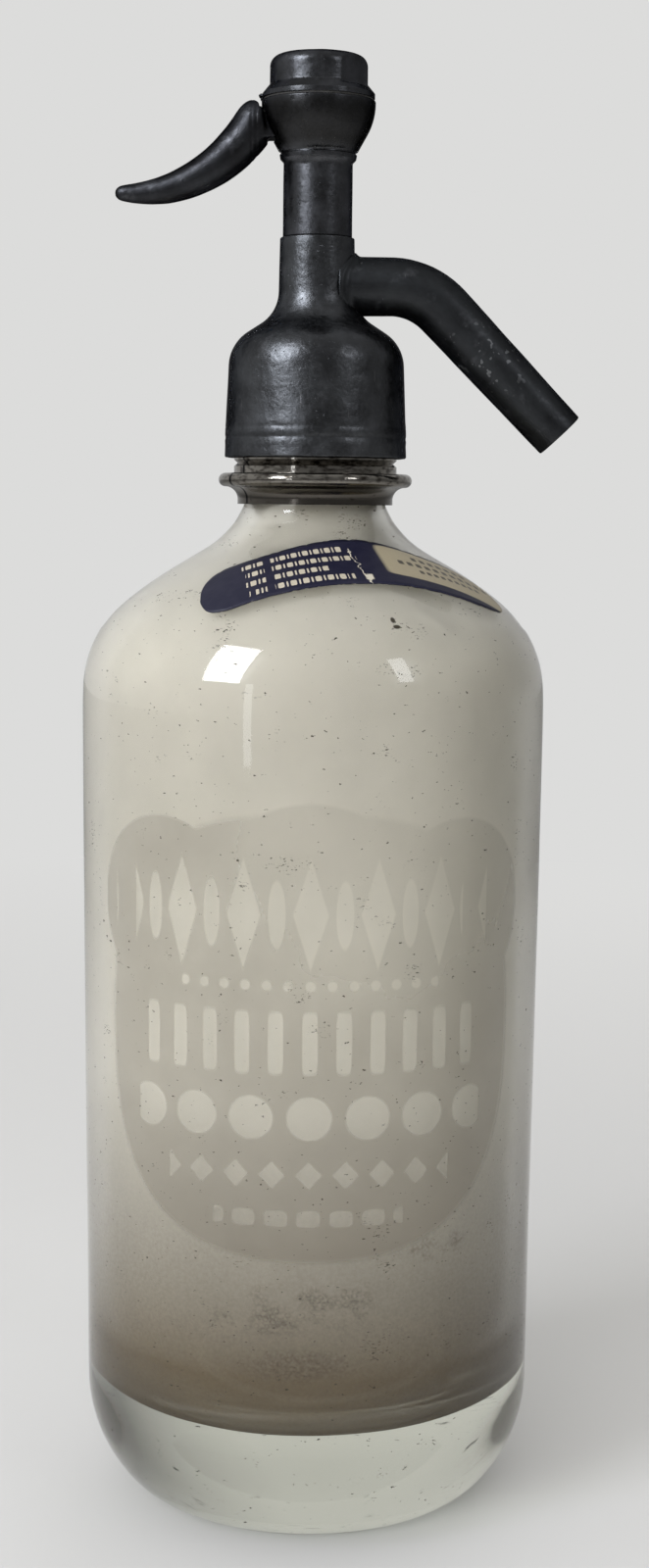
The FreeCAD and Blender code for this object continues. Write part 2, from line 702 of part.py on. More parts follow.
# ---------------------------------------------------------------------------------------------
# Spout
# ---------------------------------------------------------------------------------------------
def spout_run(label, root_radius, bend_radius, mouth_radius, start, extra):
    """A level run from start, the bend, and the straight run, extra longer than the spout."""
    turn = S.spout_angle
    level = taper(label + "_level", root_radius, bend_radius, S.spout_reach - start)
    place(level, start, 0, spout_height, axis=(0, 1, 0), angle=as_size(90))
    bend = primitive("Torus", label + "_bend", Radius1=S.spout_bend, Radius2=bend_radius)
    bend.setExpression("Angle3", f"{turn.text} * 1 deg")
    bend.Placement = FreeCAD.Placement(
        FreeCAD.Vector(), FreeCAD.Rotation(FreeCAD.Vector(1, 1, 1), -120)
    )
    bind(
        bend, Placement__Base__x=S.spout_reach, Placement__Base__z=spout_height - S.spout_bend
    )
    straight = taper(
        label + "_straight", bend_radius, mouth_radius, S.spout_length + extra
    )
    place(
        straight,
        S.spout_reach + S.spout_bend * sine(turn),
        0,
        spout_height - S.spout_bend + S.spout_bend * cosine(turn),
        axis=(0, 1, 0),
        angle=turn + 90,
    )
    return fused(label, level, bend, straight)


def make_spigot(label):
    rod = primitive(
        "Cylinder", label, Radius=spigot_radius,
        Height=S.spout_reach - chamber_radius - S.slip_gap,
    )
    return place(
        rod, chamber_radius + S.slip_gap, 0, spout_height, axis=(0, 1, 0), angle=as_size(90)
    )


def make_spout(bell_blank, spigot):
    """A drawn tube whose root fits the stalk like a saddle, with a spigot into the chamber."""
    start = stalk_radius / 2
    outside = spout_run(
        "spout_outside", spout_root_radius, spout_bend_radius, spout_mouth_radius,
        start, as_size(0),
    )
    saddle = cut("spout_saddle", outside, bell_blank)
    bore = spout_run(
        "spout_passage", S.spout_bore, S.spout_bore, S.spout_bore, start, as_size(OVERSHOOT)
    )
    return cut("spout", fused("spout_body", saddle, spigot), bore)


# ---------------------------------------------------------------------------------------------
# Gasket, glass tube and valve seat
# ---------------------------------------------------------------------------------------------
def make_tube_set():
    tube_bottom = S.base_depth + S.tube_foot_gap
    return [
        ring("neck_gasket", gasket_hole, lip_radius, lip_top, ceiling),
        ring("dip_tube", S.tube_bore, S.tube_radius, tube_bottom,
             tube_packing_top - S.tube_head_gap),
        ring("tube_packing", S.tube_radius, packing_radius, tube_gland_top, tube_packing_top),
        turned(
            "tube_gland",
            [
                (S.tube_radius + S.running_gap, ceiling - S.gland_flange_depth),
                (gland_flange_radius, ceiling - S.gland_flange_depth),
                (gland_flange_radius, ceiling),
                (packing_radius, ceiling),
                (packing_radius, tube_gland_top),
                (S.tube_radius + S.running_gap, tube_gland_top),
            ],
        ),
    ]


def make_valve_seat():
    shelf = seat_top - S.seat_lip
    return turned(
        "valve_seat",
        [
            (S.seat_bore, chamber_floor),
            (chamber_radius, chamber_floor),
            (chamber_radius, shelf),
            (seat_lip_radius, shelf),
            (seat_lip_radius - S.seat_bevel, seat_top),
            (S.seat_bore + S.seat_bevel, seat_top),
            (S.seat_bore, seat_top - S.seat_bevel),
        ],
    )


# ---------------------------------------------------------------------------------------------
# Upper casting with the bulb, and what sits in it
# ---------------------------------------------------------------------------------------------
def upper_outline():
    """Outside of the upper casting, from the axis under its spigot to the axis at its rim."""
    shaft = socket_radius - S.slip_gap
    groove = bulb_foot_radius - S.groove_depth
    return [
        (0, spigot_bottom),
        (shaft, spigot_bottom),
        (shaft, joint),
        (column_radius, joint),
        (column_radius, column_top),
        (neckring_radius, band_bottom),
        (neckring_radius, band_top),
        (groove, band_top + S.groove_width / 4),
        (groove, band_top + S.groove_width * 3 / 4),
        (bulb_foot_radius, bulb_foot),
        (bulb_radius, rim_top, S.bulb_curve),
        (0, rim_top),
    ]


def make_upper_casting(blank, pin_hole):
    under = spigot_bottom - OVERSHOOT
    stem_bore = S.stem_radius + S.running_gap
    hollow = turned(
        "bulb_hollow",
        [
            (0, under),
            (stem_bore, under),
            (stem_bore, box_floor),
            (S.box_radius, box_floor),
            (S.box_radius, cavity_floor),
            (S.cavity_radius, cavity_floor),
            (S.cavity_radius, cap_thread_bottom),
            (cap_thread_radius, cap_thread_bottom),
            (cap_thread_radius, rim_top + OVERSHOOT),
            (0, rim_top + OVERSHOOT),
        ],
    )
    slot = centred_box(
        "lever_slot", -bulb_radius - OVERSHOOT, -S.cavity_radius / 2,
        S.fork_half_width + S.lever_gap,
        pin_height - slot_half_height, pin_height + slot_half_height,
    )
    return cut("upper_casting", blank, hollow, slot, pin_hole)


def make_head_seals():
    return [
        ring("joint_washer", S.joint_washer_hole, socket_radius - S.slip_gap,
             socket_floor, spigot_bottom),
        ring("stem_packing", S.stem_radius + S.running_gap, S.box_radius - S.slip_gap,
             box_floor, stem_packing_top),
        ring("stem_gland", S.stem_radius + S.running_gap, S.box_radius,
             stem_packing_top, stem_gland_top),
        ring("cap_washer", cap_thread_radius + S.slip_gap,
             bulb_radius - S.cap_washer_inset, rim_top, cap_seat),
    ]


def make_cap():
    """A screwed cap: threaded skirt, flange, two wrench flats and a pocket for the spring."""
    bevel_top = cap_seat + S.flange_depth + S.flange_slope
    blank = turned(
        "cap_blank",
        [
            (0, spring_top),
            (spring_pocket, spring_top),
            (spring_pocket, cap_thread_bottom),
            (cap_thread_radius, cap_thread_bottom),
            (cap_thread_radius, cap_seat),
            (bulb_radius, cap_seat),
            (bulb_radius, cap_seat + S.flange_depth),
            (cap_radius, bevel_top),
            (cap_radius, cap_top - S.cap_rounding),
            (cap_radius - S.cap_rounding, cap_top, S.cap_rounding),
            (0, cap_top),
        ],
    )
    cuts = []
    for number, direction in enumerate((S.flat_angle, S.flat_angle + 180), start=1):
        block = primitive(
            "Box", f"cap_flat_{number}", Length=bulb_radius, Width=cap_radius * 2,
            Height=S.flat_depth + OVERSHOOT,
        )
        across = cosine(direction)
        along = sine(direction)
        place(
            block,
            flat_distance * across + cap_radius * along,
            flat_distance * along - cap_radius * across,
            cap_top - S.flat_depth,
            axis=(0, 0, 1),
            angle=direction,
        )
        cuts.append(block)
    return cut("top_cap", blank, *cuts)


# ---------------------------------------------------------------------------------------------
# Valve stem, its washer and its spring
# ---------------------------------------------------------------------------------------------
def make_stem_set():
    return [
        turned(
            "valve_stem",
            [
                (0, washer_bottom - S.screw_depth),
                (S.stub_radius, washer_bottom - S.screw_depth),
                (S.stub_radius, washer_top),
                (washer_radius, washer_top),
                (washer_radius, disc_top),
                (S.stem_radius, disc_top),
                (S.stem_radius, stem_top),
                (0, stem_top),
            ],
        ),
        ring("valve_washer", S.stub_radius, washer_radius, washer_bottom, washer_top),
        ring("valve_nut", S.stub_radius, S.screw_radius,
             washer_bottom - S.screw_depth, washer_bottom),
        ring("lift_collar", S.stem_radius, S.lift_collar_radius,
             lift_collar_bottom, lift_collar_top),
        ring("spring_seat", S.stem_radius, spring_seat_radius,
             lift_collar_top, spring_bottom),
    ]


def make_spring():
    """A coil between the spring's seat and the roof of the cap."""
    height = spring_top - spring_bottom - 2 * S.spring_wire
    path = primitive(
        "Helix", "spring_path", Radius=S.spring_radius, Height=height,
        Pitch=height / S.spring_turns,
    )
    wire = primitive("Circle", "spring_wire", Radius=S.spring_wire)
    place(wire, S.spring_radius, axis=(1, 0, 0), angle=as_size(90))
    spring = doc.addObject("Part::Sweep", "spring")
    spring.Sections = [wire]
    spring.Spine = (path, [])
    spring.Solid = True
    spring.Frenet = True
    return place(spring, 0, 0, spring_bottom + S.spring_wire)


# ---------------------------------------------------------------------------------------------
# Lever
# ---------------------------------------------------------------------------------------------
def horn_point(share):
    """Place and lean of the lever's centre line, at a share of its length from the fat end."""
    lean = S.horn_angle * (1 - as_size(share))
    start_x = -pin_reach - S.horn_reach - S.horn_curve * sine(S.horn_angle)
    start_z = pin_height + S.horn_rise + S.horn_curve * cosine(S.horn_angle)
    return start_x + S.horn_curve * sine(lean), start_z - S.horn_curve * cosine(lean), lean


def horn_radius(share):
    return S.horn_radius + (S.horn_tip_radius - S.horn_radius) * share_to_fullness(share)


def share_to_fullness(share):
    return Size(share**S.horn_fullness.value, f"({share:.10g} ^ {S.horn_fullness.text})")


def make_lever(pin_hole):
    """A cast horn outside the bulb and a fork inside it, in one piece, on a hub for the pin."""
    sections = []
    for number in range(HORN_SECTIONS):
        share = number / (HORN_SECTIONS - 1)
        x, z, lean = horn_point(share)
        circle = primitive("Circle", f"horn_section_{number}", Radius=horn_radius(share))
        sections.append(place(circle, x, 0, z, axis=(0, 1, 0), angle=90 - lean))
    horn = doc.addObject("Part::Loft", "horn_length")
    horn.Sections = sections
    horn.Solid = True
    ends = []
    for name, share, radius in (("fat", 0, S.horn_radius), ("thin", 1, S.horn_tip_radius)):
        x, z, _ = horn_point(share)
        ends.append(place(primitive("Sphere", f"horn_{name}_end", Radius=radius), x, 0, z))
    # The fat end is hollowed to the bulb, with a gap that widens downwards and lets it swing.
    clear = S.lever_gap
    bulb = turned(
        "bulb_clearance",
        [
            (0, joint),
            (bulb_foot_radius + S.swing_gap, joint),
            (bulb_foot_radius + S.swing_gap, bulb_foot),
            (bulb_radius + clear, rim_top, S.bulb_curve + clear),
            (bulb_radius + clear, cap_top),
            (0, cap_top),
        ],
    )
    outside = cut("horn", fused("horn_whole", horn, *ends), bulb)
    shank = centred_box(
        "lever_shank", -pin_reach - S.horn_reach - S.horn_radius / 4, -pin_reach, S.fork_half_width,
        pin_height - S.shank_half_depth, pin_height + S.shank_half_depth,
    )
    hub = cross_cylinder("lever_hub", S.hub_radius, S.fork_half_width, -pin_reach, pin_height)
    prongs = centred_box(
        "fork_blank", -pin_reach, 0, S.fork_half_width,
        pin_height - S.fork_half_depth, pin_height + S.fork_half_depth,
    )
    nose = cross_cylinder("fork_nose", S.fork_half_depth, S.fork_half_width, 0, pin_height)
    gap = centred_box(
        "fork_gap", -S.fork_root, S.hub_radius, S.fork_slot,
        pin_height - S.hub_radius, pin_height + S.hub_radius,
    )
    body = fused("lever_body", outside, shank, hub, prongs, nose)
    return cut("lever", body, gap, pin_hole)


# ---------------------------------------------------------------------------------------------
# The whole siphon
# ---------------------------------------------------------------------------------------------
spigot = make_spigot("spout_spigot")
bell_blank = turned("bell_blank", bell_outline())
upper_blank = turned("upper_blank", upper_outline())
pin = (-pin_reach, pin_height)
pin_rod = cross_cylinder("pin_rod", S.pin_radius, bulb_radius, *pin)
lever_pin = shared("lever_pin", pin_rod, upper_blank)

parts = [
    make_bottle(),
    make_label(),
    make_collar_half("collar_half_front", S.split_angle + 90),
    make_collar_half("collar_half_rear", S.split_angle - 90),
    make_bell(bell_blank, spigot),
    make_spout(bell_blank, spigot),
    *make_tube_set(),
    make_valve_seat(),
    make_upper_casting(upper_blank, pin_rod),
    *make_head_seals(),
    make_cap(),
    lever_pin,
    make_lever(cross_cylinder("pin_bore", S.pin_radius + S.pin_gap, bulb_radius, *pin)),
    *make_stem_set(),
    make_spring(),
]
doc.recompute()

for thing in doc.Objects:
    if {"Invalid", "Error"} & set(thing.State):
        raise RuntimeError(f"{thing.Label} could not be made: {thing.State}")
os.makedirs("parts", exist_ok=True)
for part in parts:
    shape = part.Shape
    if shape.isNull() or not shape.isValid() or not shape.Solids:
        raise RuntimeError(f"{part.Label} is not a sound solid")
    shape.exportStep(f"parts/{part.Label}.step")
    box = shape.BoundBox
    print(f"{part.Label:20s} {len(shape.Solids)} solid, {shape.Volume:10.1f} mm3, "
          f"x {box.XMin:.1f} to {box.XMax:.1f}, z {box.ZMin:.1f} to {box.ZMax:.1f}")
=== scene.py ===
# %% [markdown]
# # A soda siphon, dressed in Blender
# The real object is a thick glass bottle with a cast metal valve head screwed onto its neck.
# The engineering model comes first: it says where every piece is and what moves. This lesson
# keeps that frame fixed, gives every piece its finish, and remakes in mesh code the pieces
# whose looks need a finer shape than the frame has.

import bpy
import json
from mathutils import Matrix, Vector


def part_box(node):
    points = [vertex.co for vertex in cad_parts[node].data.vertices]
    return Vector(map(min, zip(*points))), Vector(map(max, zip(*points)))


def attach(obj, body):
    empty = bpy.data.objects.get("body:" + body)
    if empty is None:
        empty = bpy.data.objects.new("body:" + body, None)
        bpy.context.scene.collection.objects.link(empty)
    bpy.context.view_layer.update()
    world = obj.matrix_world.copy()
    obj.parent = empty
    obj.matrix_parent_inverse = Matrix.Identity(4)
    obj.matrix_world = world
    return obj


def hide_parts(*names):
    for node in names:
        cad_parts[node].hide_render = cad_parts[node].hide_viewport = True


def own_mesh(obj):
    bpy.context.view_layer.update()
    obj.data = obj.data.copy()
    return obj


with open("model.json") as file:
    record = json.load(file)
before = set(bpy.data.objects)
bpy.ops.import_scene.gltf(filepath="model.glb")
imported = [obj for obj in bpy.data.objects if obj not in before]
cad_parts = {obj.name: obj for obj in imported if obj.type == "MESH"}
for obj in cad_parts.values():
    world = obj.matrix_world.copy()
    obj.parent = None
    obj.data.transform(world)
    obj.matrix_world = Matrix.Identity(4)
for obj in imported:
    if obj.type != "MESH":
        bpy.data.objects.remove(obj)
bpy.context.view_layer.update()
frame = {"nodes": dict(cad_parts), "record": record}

import json
from functools import partial
from math import ceil, cos, hypot, pi, radians, sin, tan

import bmesh
import bpy
from mathutils import Matrix, Vector, noise

nodes = frame["nodes"]

# %% [markdown]
# ## Units and colours
# Blender works in metres, but a siphon is a thing of millimetres, so every length below is in
# millimetres and one factor turns it into metres. Colours are written the way a paint chart
# writes them, as sRGB hex values. A shader calculates with light, so one function turns them
# to linear values first.

# %% Units and colours
MM = 0.001


def linear(code):
    """A colour written as #RRGGBB, as the linear RGBA that a shader needs."""
    shares = [int(code[i:i + 2], 16) / 255 for i in (1, 3, 5)]
    return [s / 12.92 if s <= 0.04045 else ((s + 0.055) / 1.055) ** 2.4 for s in shares] + [1.0]


def size_of(node):
    """Lowest and highest corner of a node of the frame, in millimetres."""
    return [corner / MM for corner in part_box(node)]


print("mid grey #808080 is", round(linear("#808080")[0], 3), "in linear light")

# %% [markdown]
# ## Building a shader
# A material is a small graph of nodes. Written out in full, each node takes four or five
# lines, so one helper adds a node, sets its properties and fills its inputs, either with a
# number or with a link from another node. A socket knows the tree that it belongs to, so the
# helpers for sums and patterns find the tree by themselves. Noise repeats itself about once
# per unit of its Scale, so a pattern whose grain is a certain number of millimetres wide needs
# the Scale 1000 / grain, because the Object coordinates are in metres.

# %% Nodes and materials
def add_node(tree, kind, inputs=None, **settings):
    """Adds a shader node. inputs maps an input's name or number to a value or a socket."""
    node = tree.nodes.new("ShaderNode" + kind)
    for name, value in settings.items():
        setattr(node, name, value)
    for name, value in (inputs or {}).items():
        if isinstance(value, bpy.types.NodeSocket):
            tree.links.new(value, node.inputs[name])
        else:
            node.inputs[name].default_value = value
    return node


def new_material(name):
    """An empty material, its node tree, its output node and its Object coordinates."""
    material = bpy.data.materials.new(name)
    material.use_nodes = True
    tree = material.node_tree
    tree.nodes.clear()
    output = add_node(tree, "OutputMaterial")
    return material, tree, output, add_node(tree, "TexCoord").outputs["Object"]


def coat(output, looks):
    """Gives a material one Principled surface with these looks."""
    surface = add_node(output.id_data, "BsdfPrincipled", looks)
    output.id_data.links.new(surface.outputs[0], output.inputs["Surface"])


def mix_shaders(share, first, second):
    """A shader that goes from first to second."""
    return add_node(first.id_data, "MixShader", {0: share, 1: first.outputs[0],
                                                 2: second.outputs[0]})


def repaint(piece, material):
    """Leaves a piece with this material only."""
    piece.data.materials.clear()
    piece.data.materials.append(material)


# %% Sums and patterns
def calculate(operation, *numbers):
    """The result of one Math node over numbers or sockets."""
    sockets = [n for n in numbers if isinstance(n, bpy.types.NodeSocket)]
    return add_node(sockets[0].id_data, "Math", dict(enumerate(numbers)),
                    operation=operation).outputs[0]


# Short names for the sums that the patterns need most.
plus, minus = partial(calculate, "ADD"), partial(calculate, "SUBTRACT")
times, over = partial(calculate, "MULTIPLY"), partial(calculate, "DIVIDE")
is_below, is_above = partial(calculate, "LESS_THAN"), partial(calculate, "GREATER_THAN")
absolute, to_power = partial(calculate, "ABSOLUTE"), partial(calculate, "POWER")


def dot(vector, way):
    """How far a vector socket goes along a direction."""
    return add_node(vector.id_data, "VectorMath", {0: vector, 1: way},
                    operation="DOT_PRODUCT").outputs["Value"]


def coordinates(place):
    """The three coordinates of a place, in millimetres."""
    split = add_node(place.id_data, "SeparateXYZ", {"Vector": place})
    return [over(split.outputs[axis], MM) for axis in "XYZ"]


def remap(value, start, end, low=0.0, high=1.0):
    """Goes from low to high while value goes from start to end, and stays there beyond."""
    return add_node(value.id_data, "MapRange", {
        "Value": value, "From Min": start, "From Max": end, "To Min": low, "To Max": high,
    }).outputs[0]


def grain(place, width, low, high, detail=2.0, stretch=(1, 1, 1), seed=0):
    """A noise whose blotches are about width mm wide, cut to 0 below low and 1 above high."""
    tree = place.id_data
    moved = add_node(tree, "Mapping", {"Vector": place, "Scale": stretch,
                                       "Location": (seed * 0.37, seed * 0.11, 0)})
    cloud = add_node(tree, "TexNoise", {"Vector": moved.outputs[0], "Scale": 1 / (width * MM),
                                        "Detail": detail, "Roughness": 0.55})
    return remap(cloud.outputs["Fac"], low, high)


def blend_colours(share, first, second):
    """A colour that goes from first to second. Each is a hex code or a socket."""
    colours = [linear(c) if isinstance(c, str) else c for c in (first, second)]
    return add_node(share.id_data, "Mix", {"Factor": share, 6: colours[0], 7: colours[1]},
                    data_type="RGBA").outputs[2]


def bumps(strength, relief, height):
    """The normals of a surface that rises by up to relief mm where height is 1."""
    return add_node(height.id_data, "Bump", {
        "Strength": strength, "Distance": relief * MM, "Height": height}).outputs[0]


# %% [markdown]
# ## Making shapes
# Nearly every piece of this object was turned on a lathe or blown into a round mould, so the
# main tool is a lathe too. An outline is a list of corners as (radius, height), and a third
# number rounds a corner with an arc, which is how a drawing gives it. The outline is walked
# anticlockwise around the material, with the outside going up.

# %% Outline with rounded corners
ARC_STEP = radians(6)


def outline(corners, spacing=3.0, closed=False):
    """Points along (radius, height[, rounding]) corners, with straight runs cut to spacing."""
    line = []
    for index, corner in enumerate(corners):
        here = Vector(corner[:2])
        if len(corner) == 2:
            line.append(here)
            continue
        back = (Vector(corners[index - 1][:2]) - here).normalized()
        ahead = (Vector(corners[(index + 1) % len(corners)][:2]) - here).normalized()
        half = back.angle(ahead) / 2
        centre = here + (back + ahead).normalized() * (corner[2] / sin(half))
        start = here + back * (corner[2] / tan(half)) - centre
        turn = pi - 2 * half
        if back.x * ahead.y - back.y * ahead.x > 0:
            turn = -turn
        steps = max(2, ceil(abs(turn) / ARC_STEP), ceil(abs(turn) * corner[2] / spacing))
        line += [centre + Matrix.Rotation(turn * i / steps, 2) @ start for i in range(steps + 1)]
    if closed:
        line.append(line[0].copy())
    fine = [line[0]]
    for point in line[1:]:
        run = point - fine[-1]
        cuts = max(1, ceil(run.length / spacing))
        first = fine[-1].copy()
        fine += [first + run * (i / cuts) for i in range(1, cuts + 1)]
    return fine[:-1] if closed else fine


print("a rounded corner:", [tuple(round(c, 2) for c in p) for p in
                            outline([(0, 0), (5, 0, 1), (5, 5)])][:4])

# %% [markdown]
# ## The lathe
# The lathe walks the outline round the axis and joins neighbouring rings with four-sided
# faces. A point on the axis stays one single vertex, so that no faces collapse there. The
# outline may have several stretches, each with a material of its own, such as the outside and
# the inside of the bottle.

# %% The lathe
def object_from(mesh_maker, name, materials):
    """An object from a bmesh, with smooth faces and the given materials."""
    mesh = bpy.data.meshes.new(name)
    mesh_maker.to_mesh(mesh)
    mesh_maker.free()
    for material in materials:
        mesh.materials.append(material)
    mesh.shade_smooth()
    piece = bpy.data.objects.new(name, mesh)
    bpy.context.scene.collection.objects.link(piece)
    return piece


def join_rings(maker, ring, following, slot=0):
    """A band of faces between two rings. Where a ring is one single point, they are triangles."""
    for i in range(len(ring)):
        j = (i + 1) % len(ring)
        corners = [ring[i], ring[j], following[j], following[i]]
        corners = [c for n, c in enumerate(corners) if c not in corners[:n]]
        maker.faces.new(corners).material_index = slot


def turned(name, stretches, segments):
    """Turns (outline, material) stretches about Z. One that stays off the axis is closed."""
    points, slots = [], []
    for slot, (line, _) in enumerate(stretches):
        for point in line:
            if points and (point - points[-1]).length < 1e-6:
                continue
            points.append(point)
            slots.append(slot)
    maker = bmesh.new()
    rings = []
    angles = [2 * pi * i / segments for i in range(segments)]
    for point in points:
        if point.x < 1e-6:
            rings.append([maker.verts.new((0, 0, point.y * MM))] * segments)
        else:
            rings.append([maker.verts.new((point.x * MM * cos(a), point.x * MM * sin(a),
                                           point.y * MM)) for a in angles])
    if points[0].x > 1e-6:
        rings.append(rings[0])
    for index, (ring, following) in enumerate(zip(rings, rings[1:])):
        join_rings(maker, ring, following, slots[index])
    bmesh.ops.recalc_face_normals(maker, faces=maker.faces)
    piece = object_from(maker, name, [material for _, material in stretches])
    print(name, "has", len(piece.data.polygons), "faces")
    return piece


# %% [markdown]
# ## Hand-made surfaces
# Nothing cast or blown is perfectly round. A little noise moves each vertex along its normal,
# always inwards, so that the piece keeps within its engineering size. The eye doesn't see a
# tenth of a millimetre in the outline, but it sees how the reflections wander.

# %% Uneven surfaces
def from_axis(co):
    """How far a point is from the vertical axis."""
    return hypot(co.x, co.y)


def make_uneven(piece, depth, width, seed, chosen):
    """Moves the chosen vertices inwards by up to depth mm, in swells about width mm wide."""
    moves = []
    for vertex in piece.data.vertices:
        if chosen(vertex.co / MM):
            start = vertex.co / (width * MM) + Vector((seed, seed, seed))
            share = 0.5 + 0.5 * max(-1, min(1, noise.fractal(start, 1.0, 2.0, 3)))
            moves.append((vertex, vertex.normal * (-depth * MM * share)))
    for vertex, move in moves:
        vertex.co += move
    piece.data.update()


def copy_of(node, name):
    """A copy of a node of the frame, with a mesh of its own."""
    piece = nodes[node].copy()
    piece.data = nodes[node].data.copy()
    piece.name = name
    bpy.context.scene.collection.objects.link(piece)
    return piece


def keep_result(piece):
    """Leaves a piece with the mesh that its modifiers make."""
    bpy.context.view_layer.update()
    result = piece.evaluated_get(bpy.context.evaluated_depsgraph_get())
    mesh = bpy.data.meshes.new_from_object(result)
    piece.modifiers.clear()
    piece.data = mesh
    print(piece.name, "now has", len(mesh.polygons), "faces")


def stand_for(piece, body, node):
    """Makes a piece ride on a body in place of a node of the frame."""
    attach(piece, body)
    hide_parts(node)


# %% [markdown]
# ## The bottle's shape
# The bottle was blown into an iron mould, with a thick foot so that it stands firmly and holds
# pressure. Outside, a round heel leads to a straight side, and three arcs lead from there into
# the neck. Inside, the glass follows the outside at the wall's thickness and ends in a round
# floor. Light bends as in real glass only if both surfaces form one closed shell. Where one
# arc meets the next, the curvature jumps, and a reflection would break there in a straight
# line. Molten glass has no such jump, so the points of the shoulder move a little towards
# their neighbours.

# %% The bottle's outline, from the frame's sizes
bottle_high = size_of("bottle")[1]
side_radius, lip_top, lip_radius = bottle_high.x, bottle_high.z, size_of("neck_gasket")[1].x
WALL, BASE, FLOOR_CORNER = 4.5, 22.0, 18.0
FOOT_RING, PUNT = (23.5, 26.7), 2.5
HEEL = ((34.3, 0.0, 16.0), (45.7, 14.0, 29.5))
SIDE_TAPER, NECK_RADIUS, LIP_DEPTH = 1.2, 13.2, 4.8
# The shoulder's arcs, each as its centre, its radius and its first and last direction. The
# first two bulge outwards, and the last is the hollow below the neck.
ROUND_ARC, FLAT_ARC = ((23.3, 166.6), 23.6, 0, 47), ((1.885, 143.635), 55, 47, 61)
NECK_ARC = ((31.62, 211.1), 18.42, 241, 180)
EASED_FROM, EASED_TO, EASE_ROUNDS = 150, 200, 8
ledge = lip_top - LIP_DEPTH


def arc(centre, radius, first, last, step=3):
    """Points of an arc between two directions in degrees, from the +radius direction."""
    count = ceil(abs(last - first) / step)
    angles = [radians(first + (last - first) * i / count) for i in range(count + 1)]
    return [(centre[0] + radius * cos(a), centre[1] + radius * sin(a)) for a in angles]


def shoulder(inset):
    """From the side up into the neck, inset mm deep in the glass."""
    points = []
    for (centre, radius, first, last), way in ((ROUND_ARC, -1), (FLAT_ARC, -1), (NECK_ARC, 1)):
        points += arc(centre, radius + way * inset, first, last)
    return points


glass_outside = outline([
    (0, PUNT), (FOOT_RING[0], 0.25, 6.0), (FOOT_RING[0] + 1.0, 0), (FOOT_RING[1], 0), *HEEL,
    *shoulder(0), (NECK_RADIUS, ledge), (lip_radius, ledge), (lip_radius, lip_top, 1.2),
    (NECK_RADIUS - WALL, lip_top),
])
inner_side = side_radius - SIDE_TAPER - WALL
glass_inside = outline([
    (NECK_RADIUS - WALL, lip_top), *reversed(shoulder(WALL)),
    (inner_side, BASE, FLOOR_CORNER), (0, BASE),
])


def ease(line):
    """Evens the change from one arc to the next in the shoulder, as molten glass does."""
    for _ in range(EASE_ROUNDS):
        before = [point.copy() for point in line]
        for index in range(1, len(line) - 1):
            if EASED_FROM < line[index].y < EASED_TO:
                line[index] = (before[index - 1] + before[index] * 2 + before[index + 1]) / 4


for line in (glass_outside, glass_inside):
    ease(line)
print("glass outline:", len(glass_outside), "points outside,", len(glass_inside), "inside")

# %% [markdown]
# ## Patches drawn by mathematics
# The front of the bottle carries a plaque that was etched with acid, with clear ornament left
# in it. A picture could draw it, but a formula stays sharp at any size. The surface is
# unrolled into an arc length round the bottle and a height, both in millimetres. A patch is
# then |x/a|^n + |y/b|^n < 1: n = 1 is a lozenge, n = 2 an ellipse and a large n a bar. Folding
# x back and forth repeats the patch in a row.

# %% Patches on the unrolled bottle
def patch(along, up, centre, half_size, power, softness=0.06):
    """1 inside |x/a|^power + |y/b|^power < 1 about centre, 0 outside, with a soft edge."""
    terms = []
    for position, middle, half in zip((along, up), centre, half_size):
        offset = absolute(minus(position, middle))
        terms.append(to_power(over(offset, half), power))
    return remap(plus(*terms), 1 + softness * power, 1 - softness * power)


def row_of_patches(along, up, height, half_size, power, spacing, reach, softness=0.06):
    """The same patch every spacing mm at one height, as far as reach mm from the front."""
    folded = calculate("PINGPONG", along, spacing / 2)
    marks = patch(folded, up, (0, height), half_size, power, softness)
    return times(marks, is_below(absolute(along), reach))


def strongest(*masks):
    """Where any of the masks is 1."""
    total = masks[0]
    for mask in masks[1:]:
        total = calculate("MAXIMUM", total, mask)
    return total


def any_patch(along, up, shapes):
    """Where any of several patches is 1. A shape is a centre, a half size, power and softness."""
    return strongest(*[patch(along, up, *shape) for shape in shapes])


def unrolled(place, radius):
    """Arc length from the front and height, in millimetres, of a point on a round wall."""
    x, y, z = coordinates(place)
    return times(calculate("ARCTAN2", x, times(y, -1.0)), radius), z


# %% The etched plaque
PLAQUE = (((0, 104), (45.5, 43), 2.5, 0.015), ((0, 104), (41, 38), 3.0, 0.015),
          ((-31, 128), (17.5, 17.5), 2.0, 0.02), ((31, 128), (17.5, 17.5), 2.0, 0.02),
          ((0, 122), (24, 27), 2.0, 0.015))
FAINT_CORNER = ((18, 140), (32, 28), 2.0, 0.45)
# Rows of clear ornament: height, half size, power, spacing, reach and, for the dots, softness.
# The first row is long lozenges. Short ovals stand between them, half a spacing further on.
APART = 13.0
OVALS = (128, (1.7, 6.5), 2.0, APART, 38)
ORNAMENT = ((128, (3.4, 10.5), 1.0, APART, 38), (114.5, (1.0, 1.0), 2.0, 4.2, 26, 0.2),
            (103.5, (1.5, 6.0), 6.0, 6.6, 38), (89, (4.4, 4.2), 2.0, 11.4, 37),
            (78, (2.6, 2.7), 1.0, 7.2, 29), (69.5, (2.3, 1.6), 4.0, 6.4, 19))


